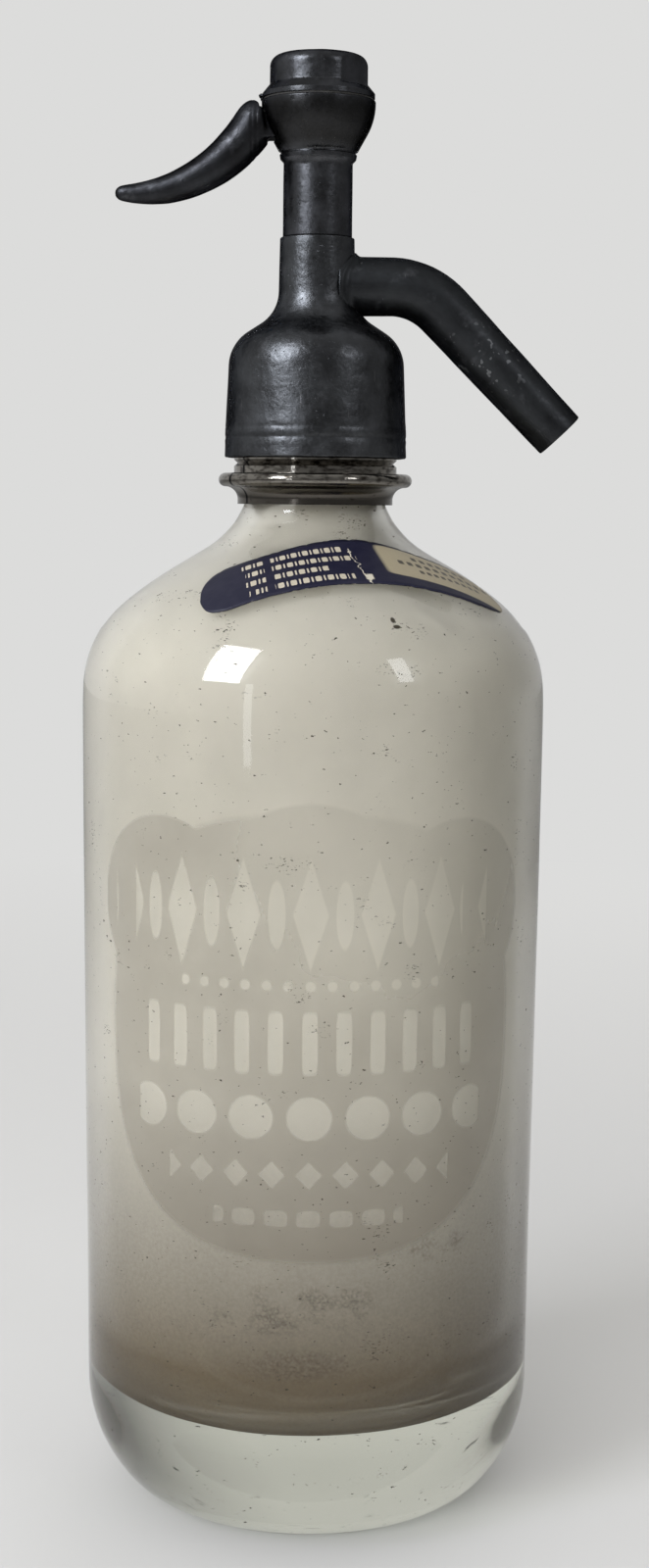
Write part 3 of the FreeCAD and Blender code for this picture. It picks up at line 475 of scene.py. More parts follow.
def etched_mask(place):
    """1 where the acid has bitten the glass, 0 where it is clear."""
    along, up = unrolled(place, side_radius)
    rows = [row_of_patches(along, up, *row) for row in ORNAMENT]
    rows.append(row_of_patches(plus(along, APART / 2), up, *OVALS))
    bitten = minus(1.0, strongest(*rows))
    faint = times(patch(along, up, *FAINT_CORNER), 0.70)
    worn = remap(grain(place, 16, 0.25, 0.60, detail=4, seed=5), 0, 1, 0.75)
    strength = times(minus(1.0, faint), worn)
    return times(any_patch(along, up, PLAQUE), times(bitten, strength))


# %% [markdown]
# ## Glass, etched and hazed
# The glass is soda-lime glass, blown: IOR 1.52, colourless where it is thin and faintly green
# where it is thick, because of iron in the sand. The green is absorbed inside the volume, so
# the thick foot shows it and the wall doesn't. A glass surface would stop the rays from lamps,
# so for shadow rays it is simply transparent, and what is inside stays lit. The etched plaque
# is the same glass with a matt, slightly milky skin. Years of drying drops left lime on the
# inside, a thin layer that scatters light back and through, thicker lower down. Lower down it
# is also browner: partly the deposit, and partly a painted refraction of a brown floor seen
# through the glass.

# %% Soda-lime glass outside and lime haze inside
GLASS_IOR = 1.52
# Patches on the unrolled wall, in mm: a burst blister outside, and inside the places where
# drops dried, the thick deposit in the foot, and the outer and inner edge of one drop.
BLISTER = (((17.9, 182.9), (0.55, 0.5), 2.0, 0.2), ((18.3, 181.7), (0.85, 0.35), 2.0, 0.2))
DRIED_DROPS = (((2.5, 51.5), (14.5, 5.5), 2.0, 0.40), ((-9, 48.5), (12, 3.0), 2.0, 0.40),
               ((26, 61.5), (8, 2.8), 2.0, 0.40))
DEPOSIT = ((-1.5, 39.2), (11, 3.4), 2.0, 0.40)
DROP, DROP_MIDDLE = ((3, 41), (24, 9), 2.0, 0.08), ((3, 41), (23, 8.4), 2.0, 0.08)
BROWNER_DOWN, THINNER_UP = (92, 36), (188, 205)


def finish_glass(tree, output, roughness, cover, colour, through, tint):
    """Glass covered in part by a matt layer, which lets a share of its light through."""
    bare = add_node(tree, "BsdfPrincipled", {
        "Base Color": linear("#FCFBF9"), "Transmission Weight": 1.0, "Roughness": roughness,
        "IOR": GLASS_IOR})
    back = add_node(tree, "BsdfDiffuse", {"Color": colour, "Roughness": 0.5})
    front = add_node(tree, "BsdfTranslucent", {"Color": colour})
    skin = mix_shaders(cover, bare, mix_shaders(through, back, front))
    clear = add_node(tree, "BsdfTransparent", {"Color": linear(tint)})
    mix = mix_shaders(add_node(tree, "LightPath").outputs["Is Shadow Ray"], skin, clear)
    green = add_node(tree, "VolumeAbsorption", {"Color": linear("#DFE1D4"), "Density": 15.0})
    tree.links.new(mix.outputs[0], output.inputs["Surface"])
    tree.links.new(green.outputs[0], output.inputs["Volume"])


def soda_lime_glass():
    """The outside: clear glass with the etched plaque, smears, scuffs and small flecks."""
    material, tree, output, place = new_material("blown_soda_lime_glass")
    etched = etched_mask(place)
    smears = grain(place, 14, 0.45, 0.75, detail=4, seed=2)
    smooth = remap(smears, 0, 1, 0.03, 0.10)
    frosted = add_node(tree, "Mix", {"Factor": etched, 2: smooth, 3: 0.45})
    scuffs = grain(place, 0.7, 0.60, 0.64, detail=3, stretch=(1, 1, 2.6), seed=3)
    scuffed = grain(place, 8, 0.62, 0.68, detail=3, seed=15)
    flecks = grain(place, 1.3, 0.700, 0.712, detail=3, stretch=(1, 1, 2.0), seed=9)
    blister = any_patch(*unrolled(place, side_radius), BLISTER)
    dirt = strongest(times(scuffs, scuffed), flecks, blister)
    cover = strongest(dirt, times(etched, 0.36))
    colour = blend_colours(dirt, "#675F54", "#3A362F")
    finish_glass(tree, output, frosted.outputs[0], cover, colour, 0.35, "#F4F6F2")
    return material


def hazed_glass():
    """The inside: glass under dried lime, thinner in the neck, and browner low down, partly as
    deposit and partly as a painted refraction of a brown floor.
    """
    material, tree, output, place = new_material("lime_hazed_glass")
    along, up = unrolled(place, side_radius - WALL)
    low_down, in_neck = remap(up, *BROWNER_DOWN), remap(up, *THINNER_UP)
    clouds = grain(place, 30, 0.30, 0.75, detail=5, seed=4)
    specks = grain(place, 0.7, 0.35, 0.65, detail=5, seed=7)
    islands = grain(place, 5, 0.36, 0.62, detail=5, seed=16)
    cells = add_node(tree, "TexVoronoi", {"Vector": place, "Scale": 1 / (1.2 * MM)})
    rings = remap(absolute(minus(cells.outputs["Distance"], 0.42)), 0.22, 0.02)
    dried = strongest(times(any_patch(along, up, DRIED_DROPS), islands),
                      patch(along, up, *DEPOSIT))
    texture = plus(times(rings, 0.28), times(specks, 0.42))
    scattered = times(times(low_down, 0.22), specks)
    browned = strongest(times(dried, texture), scattered)
    rim_of_drop = minus(patch(along, up, *DROP), patch(along, up, *DROP_MIDDLE))
    cover = plus(plus(times(clouds, 0.14), 0.61), times(low_down, 0.18))
    cover = minus(cover, times(in_neck, 0.30))
    # Low down the lime turns brown: partly deposit, partly a painted refraction of a brown floor.
    lime = blend_colours(low_down, "#F8F2E8", "#786951")
    lime = blend_colours(times(rim_of_drop, 0.20), lime, "#BBAE98")
    colour = blend_colours(browned, lime, "#4A3B2C")
    finish_glass(tree, output, 0.12, cover, colour, 0.5, "#F2EFEA")
    return material


glass, haze = soda_lime_glass(), hazed_glass()
bottle = turned("bottle_glass", [(glass_outside, glass), (glass_inside, haze)], segments=192)
inner_wall = side_radius - WALL + 0.3
make_uneven(bottle, 0.12, 35, 1, lambda co: co.z > 3)
make_uneven(bottle, 0.35, 28, 6, lambda co: from_axis(co) < inner_wall and co.z > BASE - 1)
stand_for(bottle, "root", "bottle")

# %% [markdown]
# ## Aged tin alloy
# The valve head is cast and then turned from a tin alloy, much like pewter. Handling and air
# have turned it dark grey. It is still a metal, so metallic is 1 and the dark comes from its
# colour; the oxide makes it half-dull, and its gloss changes over a millimetre or so, which
# breaks each highlight into grains. Fine pits, rubbed patches and light scratches say that it
# is old. A dark edge tint keeps its rims from shining like chrome.

# %% Aged tin alloy
def aged_tin_alloy(name, dark, light, dullness, relief=0.09, drops=None, painted_dark_reflection=None):
    """drops and the painted dark reflection are patches seen from the front, each as its centre
    and half size.
    """
    material, tree, output, place = new_material(name)
    patchy = grain(place, 7, 0.35, 0.70, detail=5, seed=1)
    peel = grain(place, 0.9, 0.30, 0.75, detail=3, seed=2)
    swells = grain(place, 2.6, 0.25, 0.75, detail=2, seed=18)
    rubbed = grain(place, 3.5, 0.58, 0.76, detail=6, seed=3)
    pits = grain(place, 0.55, 0.70, 0.78, detail=2, seed=4)
    lines = grain(place, 0.8, 0.705, 0.73, detail=3, stretch=(1, 1, 0.08), seed=5)
    colour = blend_colours(patchy, dark, light)
    colour = blend_colours(times(rubbed, 0.5), colour, "#6F7074")
    colour = blend_colours(times(lines, 0.35), colour, "#8A8A8C")
    across, _, up = coordinates(place)
    if drops is not None:
        dots = times(patch(across, up, *drops, 2.0, 0.4),
                     grain(place, 1.3, 0.655, 0.685, detail=1, seed=17))
        colour = blend_colours(times(dots, 0.5), colour, "#939597")
    # A band round the bulb is painted darker: a painted dark reflection, where the bulb faces
    # down.
    if painted_dark_reflection is not None:
        dark_reflection_zone = patch(across, up, *painted_dark_reflection, 4.0, 0.2)
        colour = blend_colours(times(dark_reflection_zone, 0.75), colour, "#232220")
    gloss = plus(times(peel, 0.14), times(patchy, 0.08))
    height = plus(minus(times(peel, 0.35), pits), swells)
    coat(output, {
        "Base Color": colour, "Metallic": 1.0, "Roughness": plus(gloss, dullness),
        "Specular Tint": linear("#7A7A7C"), "Normal": bumps(0.5, relief, height)})
    return material


# The turned alloy carries a painted dark reflection in a band round the bulb.
turned_alloy = aged_tin_alloy("turned_tin_alloy", "#434446", "#5C5D61", 0.22,
                              painted_dark_reflection=((0, 278.8), (40, 4.6)))
cast_alloy = aged_tin_alloy("cast_tin_alloy", "#494A4C", "#626467", 0.25, relief=0.14)
tube_alloy = aged_tin_alloy("drawn_tin_alloy", "#363739", "#434547", 0.34, relief=0.03,
                            drops=((34.7, 234), (8, 7)))
handled_alloy = aged_tin_alloy("handled_tin_alloy", "#2C2C2E", "#3D3E41", 0.30)

# %% [markdown]
# ## Other metals, rubber and paper
# The collar is brass with a bright nickel skin: a warm white metal, polished, with brown
# tarnish in spots. Its cove under the bead is painted darker and browner, a painted dark
# reflection. Its two halves meet in a gap that dirt has filled, so a dark line is drawn where
# the plane of that joint comes near the surface. The small parts in the head are plain turned
# brass and black rubber. Each gets its own grain and gloss, because a view from below or into
# the head shows some of them.

# %% Nickel plate, brass, rubber, steel
def metal(name, bright, dull, roughness, spot, cut, painted_reflection_below=None, joint=None):
    """Tarnished in spots spot mm wide and painted darker below a height as a painted dark
    reflection, with dirt in a joint at an angle.
    """
    material, tree, output, place = new_material(name)
    tarnish_and_dark_reflection = grain(place, spot, cut, cut + 0.22, detail=5, stretch=(1, 1, 2.5), seed=6)
    # Below that height the colour is a painted dark reflection, laid over the tarnish.
    if painted_reflection_below is not None:
        low = remap(coordinates(place)[2], painted_reflection_below, painted_reflection_below - 1.5, 0, 0.75)
        tarnish_and_dark_reflection = strongest(tarnish_and_dark_reflection, low)
    colour = blend_colours(tarnish_and_dark_reflection, bright, dull)
    if joint is not None:
        across = (sin(radians(joint)), -cos(radians(joint)), 0.0)
        dirt = remap(absolute(dot(place, across)), 0.55 * MM, 0.28 * MM)
        colour = blend_colours(dirt, colour, "#0C0B0A")
    gloss = plus(times(tarnish_and_dark_reflection, 0.16), roughness)
    fine = grain(place, 0.7, 0.35, 0.75, detail=3, seed=8)
    coat(output, {"Base Color": colour, "Metallic": 1.0, "Roughness": gloss,
                  "Normal": bumps(0.4, 0.02, fine)})
    return material


def black_rubber():
    """Old rubber, with a faint grey bloom."""
    material, tree, output, place = new_material("black_rubber")
    bloom = grain(place, 1.5, 0.40, 0.75, detail=4)
    coat(output, {
        "Base Color": blend_colours(bloom, "#1B1A19", "#2B2A28"), "IOR": 1.52,
        "Roughness": plus(times(bloom, 0.2), 0.6)})
    return material


# The nickel below the top of the cove is painted darker and browner, a painted dark reflection.
COVE_TOP = size_of("collar_half_front")[0].z + 5.0
COLLAR_JOINT = -150.0
nickel = metal("polished_nickel_plate", "#928E87", "#3A352F", 0.05, 1.8, 0.45, COVE_TOP,
               COLLAR_JOINT)
brass = metal("turned_brass", "#B08A4A", "#6E5732", 0.25, 3.0, 0.45)
spring_steel = metal("drawn_spring_steel", "#8E8F92", "#5A5550", 0.28, 2.0, 0.55)

finishes = {"plated_brass": nickel, "tin_alloy": turned_alloy, "rubber": black_rubber(),
            "brass": brass, "spring_wire": spring_steel}
for part in frame["record"]["subparts"]:
    finish = finishes.get(part["material_slot"])
    if finish is not None:
        repaint(nodes[part["node"]], finish)
repaint(nodes["dip_tube"], haze)

# %% [markdown]
# ## The paper label
# A curved paper strip is glued over the shoulder. Seen from above it is a part of a flat ring
# whose centre lies behind the bottle. The mesh is a grid along and across that ring. Each of
# its points is dropped onto the glass, and a little noise nibbles its edges. The same patches
# as on the plaque draw the print along and across the strip: navy, with a cream panel, and
# plain dashes where a label has its lines of words. Paper is dull and rubbed bare in places.

# %% Where the label lies, and its print
LABEL_ANGLE, LABEL_REACH, LABEL_CURVE, LABEL_WIDTH = radians(-71.5), 31.7, 98.0, 12.8
LABEL_FROM, LABEL_TO = radians(-18.9), radians(20.0)
LABEL_MIDDLE, LABEL_BACK = LABEL_CURVE - LABEL_WIDTH / 2, LABEL_REACH - LABEL_CURVE
# The print, in millimetres along and across the strip. The cream panel's lower edge falls
# towards the right end, so a second patch, which leans, joins the first.
PANEL = ((21.3, 1.3), (15.6, 4.45), 14.0, 0.03)
LEANING_PANEL = ((21.3, 0.0), (15.6, 3.2), 14.0, 0.03)
LEAN_FROM, LEAN, PANEL_FROM, INK_MIDDLE = 6.0, 0.065, 7.0, 20.0
CHIP = ((1.1, -4.7), (0.8, 0.9), 1.3, 0.2)
# Rows of words as middle, reach and height; they end at one place and have one gap.
WORDS = ((-11.7, 10.6, 3.9), (-10.6, 11.0, 1.15), (-13.4, 7.4, -1.65), (-10.8, 9.2, -4.4))
WORDS_TO, GAP, HALF_GAP, WORD_SPACING = 1.5, -17.2, 0.75, 2.3
# Rows of ink on the panel as height, half size, power, spacing, reach and softness.
INK = ((3.4, (0.62, 0.62), 5.0, 2.0, 7.0, 0.05), (1.2, (0.62, 0.62), 5.0, 2.0, 11.0, 0.05),
       (-1.0, (0.50, 0.50), 5.0, 1.6, 7.5, 0.05))


def label_material():
    """Printed paper, drawn along and across the strip, then creased, chipped and rubbed."""
    material, tree, output, place = new_material("printed_paper")
    turned_place = add_node(tree, "VectorRotate", {"Vector": place, "Angle": -LABEL_ANGLE},
                            rotation_type="Z_AXIS")
    facing, aside, _ = coordinates(turned_place.outputs[0])
    from_centre = minus(facing, LABEL_BACK)
    along = times(calculate("ARCTAN2", aside, from_centre), LABEL_MIDDLE)
    far = calculate("SQRT", plus(to_power(aside, 2.0), to_power(from_centre, 2.0)))
    up = minus(LABEL_MIDDLE, far)
    leaning = plus(up, times(minus(along, LEAN_FROM), LEAN))
    panel = strongest(patch(along, up, *PANEL), patch(along, leaning, *LEANING_PANEL))
    words = []
    for middle, reach, height in WORDS:
        moved = minus(along, middle)
        for place_in_row, half in ((moved, 0.58), (plus(moved, WORD_SPACING / 2), 0.17)):
            words.append(row_of_patches(place_in_row, up, height, (half, 0.72), 5.0,
                                        WORD_SPACING, reach, 0.05))
    words = times(strongest(*words), is_below(along, WORDS_TO))
    words = times(words, is_above(absolute(minus(along, GAP)), HALF_GAP))
    in_panel = minus(along, INK_MIDDLE)
    ink = strongest(*[row_of_patches(in_panel, up, *row) for row in INK])
    ink = times(ink, is_above(along, PANEL_FROM))
    colour = blend_colours(panel, "#0A0A20", "#847B65")
    colour = blend_colours(times(words, 0.9), colour, "#A39B8A")
    colour = blend_colours(times(ink, 0.9), colour, "#2A2622")
    # The crease is a thin line that leans, wanders with a slow noise and shows the bare paper.
    waves = grain(place, 1.6, 0.3, 0.7, detail=4, seed=11)
    drift = times(minus(waves, 0.5), 1.3)
    off_crease = minus(minus(along, times(up, -0.16)), drift)
    crease = times(remap(absolute(off_crease), 0.17, 0.07), is_below(up, 4.0))
    chip = patch(along, plus(up, drift), *CHIP)
    nicks = grain(place, 0.9, 0.735, 0.76, detail=3, seed=13)
    rubbed = grain(place, 3, 0.40, 0.90, detail=4, seed=14)
    colour = blend_colours(times(rubbed, 0.12), colour, "#4A4854")
    colour = blend_colours(strongest(crease, chip, nicks), colour, "#A8A293")
    coat(output, {"Base Color": colour, "Roughness": 0.5, "IOR": 1.45,
                  "Normal": bumps(0.4, 0.05, waves)})
    return material


# %% Label mesh
COLUMNS, ROWS, LEFT_ROUND, RIGHT_ROUND, ROUNDNESS = 150, 16, 7.0, 11.0, 2.4
paper = label_material()
maker = bmesh.new()
layers = []
for lift in (0.03, 0.19):
    grid = []
    for i in range(COLUMNS + 1):
        angle = LABEL_FROM + (LABEL_TO - LABEL_FROM) * (i / COLUMNS) ** 1.15
        to_left, to_right = (angle - LABEL_FROM) * LABEL_MIDDLE, (LABEL_TO - angle) * LABEL_MIDDLE
        inside = min(1.0, to_left / LEFT_ROUND, to_right / RIGHT_ROUND)
        half = LABEL_WIDTH / 2 * max(0.02, 1 - (1 - inside) ** ROUNDNESS) ** (1 / ROUNDNESS)
        row = []
        for j in range(ROWS + 1):
            share = 2 * j / ROWS - 1
            bite = 0.35 * noise.fractal(Vector((angle * 60, share * 2, 7)), 1.0, 2.0, 4)
            radius = LABEL_MIDDLE + share * (half - max(0.0, bite) * abs(share) ** 6)
            facing, aside = LABEL_BACK + radius * cos(angle), radius * sin(angle)
            flat = Matrix.Rotation(LABEL_ANGLE, 2) @ Vector((facing, aside))
            start = Vector((flat.x, flat.y, 215)) * MM
            _, spot, normal, _ = bottle.ray_cast(start, Vector((0, 0, -1)))
            row.append(maker.verts.new(spot + normal * (lift * MM)))
        grid.append(row)
    layers.append(grid)
low, high = layers
for i in range(COLUMNS):
    for j in range(ROWS):
        for grid in (low, high):
            maker.faces.new((grid[i][j], grid[i + 1][j], grid[i + 1][j + 1], grid[i][j + 1]))
    for j in (0, ROWS):
        maker.faces.new((low[i][j], low[i + 1][j], high[i + 1][j], high[i][j]))
for j in range(ROWS):
    for i in (0, COLUMNS):
        maker.faces.new((low[i][j], low[i][j + 1], high[i][j + 1], high[i][j]))
bmesh.ops.recalc_face_normals(maker, faces=maker.faces)
label = object_from(maker, "label_strip", [paper])
print("label, seen from above, is", round((LABEL_TO - LABEL_FROM) * LABEL_MIDDLE, 1), "mm long")
stand_for(label, "root", "shoulder_label")

# %% [markdown]
# ## The bell
# The bell was cast in one piece with its stalk and then turned: a skirt that screws onto the
# collar, a rounded shoulder and a hollow that runs up into the stalk. Turning one outline gives
# it long fillets, which a cylinder with a bevel would not have. The lathe tool left two shallow
# rings near its edge. The metal is soft, so that edge is dented and worn.

# %% Bell
BELL_EDGE, BELL_RADIUS = size_of("bell_casting")[0].z, size_of("bell_casting")[1].x
# Heights: end of the thread, ceiling over the glass, ceiling of the pocket for the tube's
# packing, floor of the valve chamber, seat of the joint washer, and joint to the upper casting.
THREAD_TOP, CEILING, POCKET_TOP, CHAMBER_FLOOR = 223.55, 230.5, 236.5, 238.6
WASHER_SEAT, JOINT = 252.5, 257.2
# Radii: thread, hollow, pocket, passage, chamber, hole for the washer, stalk at foot and top.
BORE, HOLLOW, POCKET, PASSAGE, CHAMBER, WASHER_HOLE = 16.5, 15.6, 7.25, 2.9, 4.6, 5.2
STALK_FOOT, STALK_TOP = 7.75, 7.5

bell_outline = outline([
    (BORE, BELL_EDGE), (BELL_RADIUS, BELL_EDGE, 0.45), (BELL_RADIUS - 0.15, 217.0),
    (BELL_RADIUS - 0.25, 217.3), (BELL_RADIUS - 0.25, 217.7), (BELL_RADIUS - 0.17, 218.0),
    (BELL_RADIUS - 0.20, 219.3), (BELL_RADIUS - 0.27, 219.5), (BELL_RADIUS - 0.23, 219.8),
    (BELL_RADIUS - 0.95, 236.2, 8.2), (STALK_FOOT, 242.5, 7.6), (STALK_TOP, JOINT, 0.35),
    (WASHER_HOLE, JOINT), (WASHER_HOLE, WASHER_SEAT), (CHAMBER, WASHER_SEAT),
    (CHAMBER, CHAMBER_FLOOR), (PASSAGE, CHAMBER_FLOOR), (PASSAGE, POCKET_TOP),
    (POCKET, POCKET_TOP), (POCKET, CEILING), (HOLLOW, CEILING), (HOLLOW, THREAD_TOP),
    (BORE, THREAD_TOP),
], spacing=1.2, closed=True)
bell = turned("bell", [(bell_outline, cast_alloy)], segments=144)
make_uneven(bell, 0.10, 16, 3, lambda co: from_axis(co) > CHAMBER + 1.5 and co.z > 220)
make_uneven(bell, 0.18, 3.2, 8, lambda co: from_axis(co) > BORE + 0.9 and co.z < BELL_EDGE + 3)
stand_for(bell, "root", "bell_casting")

# %% [markdown]
# ## Column and bulb
# The upper casting screws into the stalk. Its column carries a small collar, a groove and the
# bulb that hides the end of the lever. It is turned like the bell, and then the slot for the
# lever is cut through its wall with a boolean, as a cutter would. Where the slot breaks out
# at the rim, a small burr was left, which one sees beside the cap.

# %% Column, bulb and slot
# Radii: column, spigot in the stalk, bulb, hole for the stem, gland, inside of the bulb, cap's
# thread. Heights: spigot's foot, bottom of the gland's hole, floor inside the bulb, end of the
# cap's thread, rim.
COLUMN, SPIGOT, BULB, STEM_HOLE, GLAND, ROOM, CAP_THREAD = 6.93, 5.15, 11.38, 1.72, 4.0, 7.0, 8.5
SPIGOT_FOOT, GLAND_FLOOR, ROOM_FLOOR, THREAD_FOOT, RIM = 254.32, 262.3, 275.0, 282.13, 283.83
upper_outline = outline([
    (STEM_HOLE, SPIGOT_FOOT), (SPIGOT, SPIGOT_FOOT), (SPIGOT, JOINT), (COLUMN, JOINT, 0.2),
    (COLUMN, 271.7), (7.6, 272.4, 0.3), (7.75, 273.3, 0.15), (7.5, 273.45), (7.5, 273.8),
    (7.95, 274.0), (BULB, 280.1, 12.8), (BULB, RIM, 0.35), (CAP_THREAD, RIM),
    (CAP_THREAD, THREAD_FOOT), (ROOM, THREAD_FOOT), (ROOM, ROOM_FLOOR), (GLAND, ROOM_FLOOR),
    (GLAND, GLAND_FLOOR), (STEM_HOLE, GLAND_FLOOR),
], spacing=1.0, closed=True)
upper = turned("column_and_bulb", [(upper_outline, turned_alloy)], segments=144)
# The slot as a box between two corners.
SLOT = ((-14, -3.6, 275.75), (-6.2, 3.6, 281.85))


def cut_box(piece, low, high):
    """Takes a box between two corners, in millimetres, out of a piece."""
    bpy.ops.mesh.primitive_cube_add(size=1)
    tool = bpy.context.object
    tool.location = [(a + b) / 2 * MM for a, b in zip(low, high)]
    tool.scale = [(b - a) * MM for a, b in zip(low, high)]
    cutter = piece.modifiers.new("cut", "BOOLEAN")
    cutter.object, cutter.operation, cutter.solver = tool, "DIFFERENCE", "EXACT"
    keep_result(piece)
    bpy.data.objects.remove(tool)


make_uneven(upper, 0.07, 12, 5, lambda co: from_axis(co) > 6.5)
cut_box(upper, *SLOT)

# %% Burr at the rim
BURR_CENTRE, BURR_HALF_SIZE = Vector((-11.0, 0.1, RIM + 0.65)), Vector((0.75, 1.5, 0.75))
bpy.ops.mesh.primitive_ico_sphere_add(subdivisions=4, radius=1)
burr = bpy.context.object
burr.name = "rim_burr"
for vertex in burr.data.vertices:
    lump = 1 + 0.35 * noise.fractal(vertex.co * 1.3 + Vector((3, 1, 2)), 1.0, 2.0, 3)
    vertex.co = (vertex.co * BURR_HALF_SIZE) * lump * MM + BURR_CENTRE * MM
burr.data.materials.append(turned_alloy)
burr.data.shade_smooth()
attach(burr, "root")
stand_for(upper, "root", "upper_casting")

# %% [markdown]
# ## The cap
# The cap is turned, with a flange, a bevel and a rounded top, and two flats are filed on it
# for a wrench. Filing cuts a round shape flat, so each vertex beyond the plane of a flat moves
# back onto it. The outline's rings are close together, so the edge where a flat ends is crisp.

# %% Cap with two wrench flats
CAP_SEAT, CAP_TOP = size_of("cap_washer")[1].z, size_of("top_cap")[1].z
CAP_RADIUS, CAP_FLANGE, SPRING_HOLE, SPRING_ROOF = 9.75, 11.2, 5.0, 290.2
FLAT_FROM_AXIS, FLAT_FROM_Z, FLAT_DIRECTIONS = 8.75, 286.3, (-36.5, 143.5)
cap_outline = outline([
    (0, SPRING_ROOF), (SPRING_HOLE, SPRING_ROOF), (SPRING_HOLE, THREAD_FOOT),
    (CAP_THREAD, THREAD_FOOT), (CAP_THREAD, CAP_SEAT), (CAP_FLANGE, CAP_SEAT, 0.15),
    (CAP_FLANGE, 285.17, 0.2), (CAP_RADIUS, 286.9, 0.6), (CAP_RADIUS, CAP_TOP, 2.3),
    (0, CAP_TOP),
], spacing=0.35)
cap = turned("cap", [(cap_outline, turned_alloy)], segments=288)
for vertex in cap.data.vertices:
    x, y, z = vertex.co / MM
    for degrees in FLAT_DIRECTIONS:
        across = Vector((cos(radians(degrees)), sin(radians(degrees))))
        beyond = across.dot((x, y)) - FLAT_FROM_AXIS
        if beyond > 0 and z > FLAT_FROM_Z:
            vertex.co.x -= beyond * across.x * MM
            vertex.co.y -= beyond * across.y * MM
cap.data.update()
make_uneven(cap, 0.08, 4, 9, lambda co: from_axis(co) > 8.7 or co.z > 291)
stand_for(cap, "root", "top_cap")

# %% [markdown]
# ## The spout
# The spout is a tube, drawn, bent over a former and soldered into the stalk. It is a sweep: a
# ring walks along a line that is level, then bends, then runs straight down at a slant, and
# its radius falls towards the mouth. A fillet of solder spreads near the stalk, where one
# formula widens the ring by how near each point is.

# %% Spout
SPOUT_Z, BEND_FROM, BEND, DOWN, STRAIGHT = 247.7, 14.9, 14.5, radians(46.0), 34.4
SPOUT_BORE, ROOT_RADIUS, BEND_RADIUS, MOUTH_RADIUS = 3.2, 6.05, 5.85, 5.35
SPOUT_END = BEND_FROM + DOWN * BEND + STRAIGHT
# The fillet of solder: how far it reaches and how thick it is. Fine rings carry it, and coarser
# ones follow.
SOLDER_REACH, SOLDER, FINE_FROM, FINE, COARSE_FROM, COARSE = 1.1, 0.75, 4.3, 0.35, 10.7, 1.15
ROUND_EDGE, AROUND = 0.35, 72


def spout_at(run):
    """Centre, direction and outer radius of the spout, run mm after the stalk's axis."""
    if run < BEND_FROM:
        radius = ROOT_RADIUS + (BEND_RADIUS - ROOT_RADIUS) * run / BEND_FROM
        return Vector((run, 0, SPOUT_Z)), Vector((1, 0, 0)), radius
    turn, down = min((run - BEND_FROM) / BEND, DOWN), max(0.0, run - BEND_FROM - DOWN * BEND)
    ahead = Vector((cos(turn), 0, -sin(turn)))
    centre = Vector((BEND_FROM, 0, SPOUT_Z - BEND)) + Vector((-ahead.z, 0, ahead.x)) * BEND
    radius = BEND_RADIUS + (MOUTH_RADIUS - BEND_RADIUS) * down / STRAIGHT
    return centre + ahead * down, ahead, radius


spout_sections = [(FINE_FROM + FINE * i, None) for i in range(18)]
spout_sections += [(COARSE_FROM + COARSE * i, None)
                   for i in range(int((SPOUT_END - COARSE_FROM - 0.5) / COARSE))]
for turn in range(0, 91, 18):
    back, inwards = 1 - sin(radians(turn)), 1 - cos(radians(turn))
    spout_sections.append((SPOUT_END - ROUND_EDGE * back, MOUTH_RADIUS - ROUND_EDGE * inwards))
spout_sections += [(SPOUT_END, SPOUT_BORE + 0.15), (SPOUT_END - 0.15, SPOUT_BORE)]
spout_sections += [(SPOUT_END - depth, SPOUT_BORE) for depth in (10, 25, 40)]
maker = bmesh.new()
rings = []
for run, fixed in spout_sections:
    centre, ahead, radius = spout_at(run)
    up = Vector((-ahead.z, 0, ahead.x))
    ring = []
    for i in range(AROUND):
        angle = 2 * pi * i / AROUND
        way = up * cos(angle) + Vector((0, 1, 0)) * sin(angle)
        point = centre + way * (radius if fixed is None else fixed)
        gap = from_axis(point) - (STALK_TOP + 0.25)
        if fixed is None and gap < SOLDER_REACH:
            point += way * (SOLDER * (1 - max(gap, 0) / SOLDER_REACH) ** 2)
        ring.append(maker.verts.new(point * MM))
    rings.append(ring)
for ring, following in zip(rings, rings[1:]):
    join_rings(maker, ring, following)
maker.faces.new(rings[0])
maker.faces.new(rings[-1])
bmesh.ops.recalc_face_normals(maker, faces=maker.faces)
spout = object_from(maker, "spout_tube", [tube_alloy])
make_uneven(spout, 0.12, 9, 4, lambda co: co.x < 56 and hypot(co.x - 29, co.z - 230) < 60)
print("spout runs", round(SPOUT_END, 1), "mm")
stand_for(spout, "root", "spout")

# %% [markdown]
# ## The lever
# The lever is a curved horn: fat beside the bulb and thin at its tip, like a drop that was
# bent. Its frame solid already has that form, but from a few cross-sections. A copy of it gets
# a voxel remesh, which spreads even faces over it, and each vertex then moves towards its
# neighbours some times. That rounds the edges, as casting and years of thumbs do. The fork
# and the hole inside the bulb get few rounds, the horn outside gets many. That also shrinks
# the horn, so it grows again along its normals, its tip is drawn out a little, and its upper
# corner beside the bulb is kept inside a small circle.

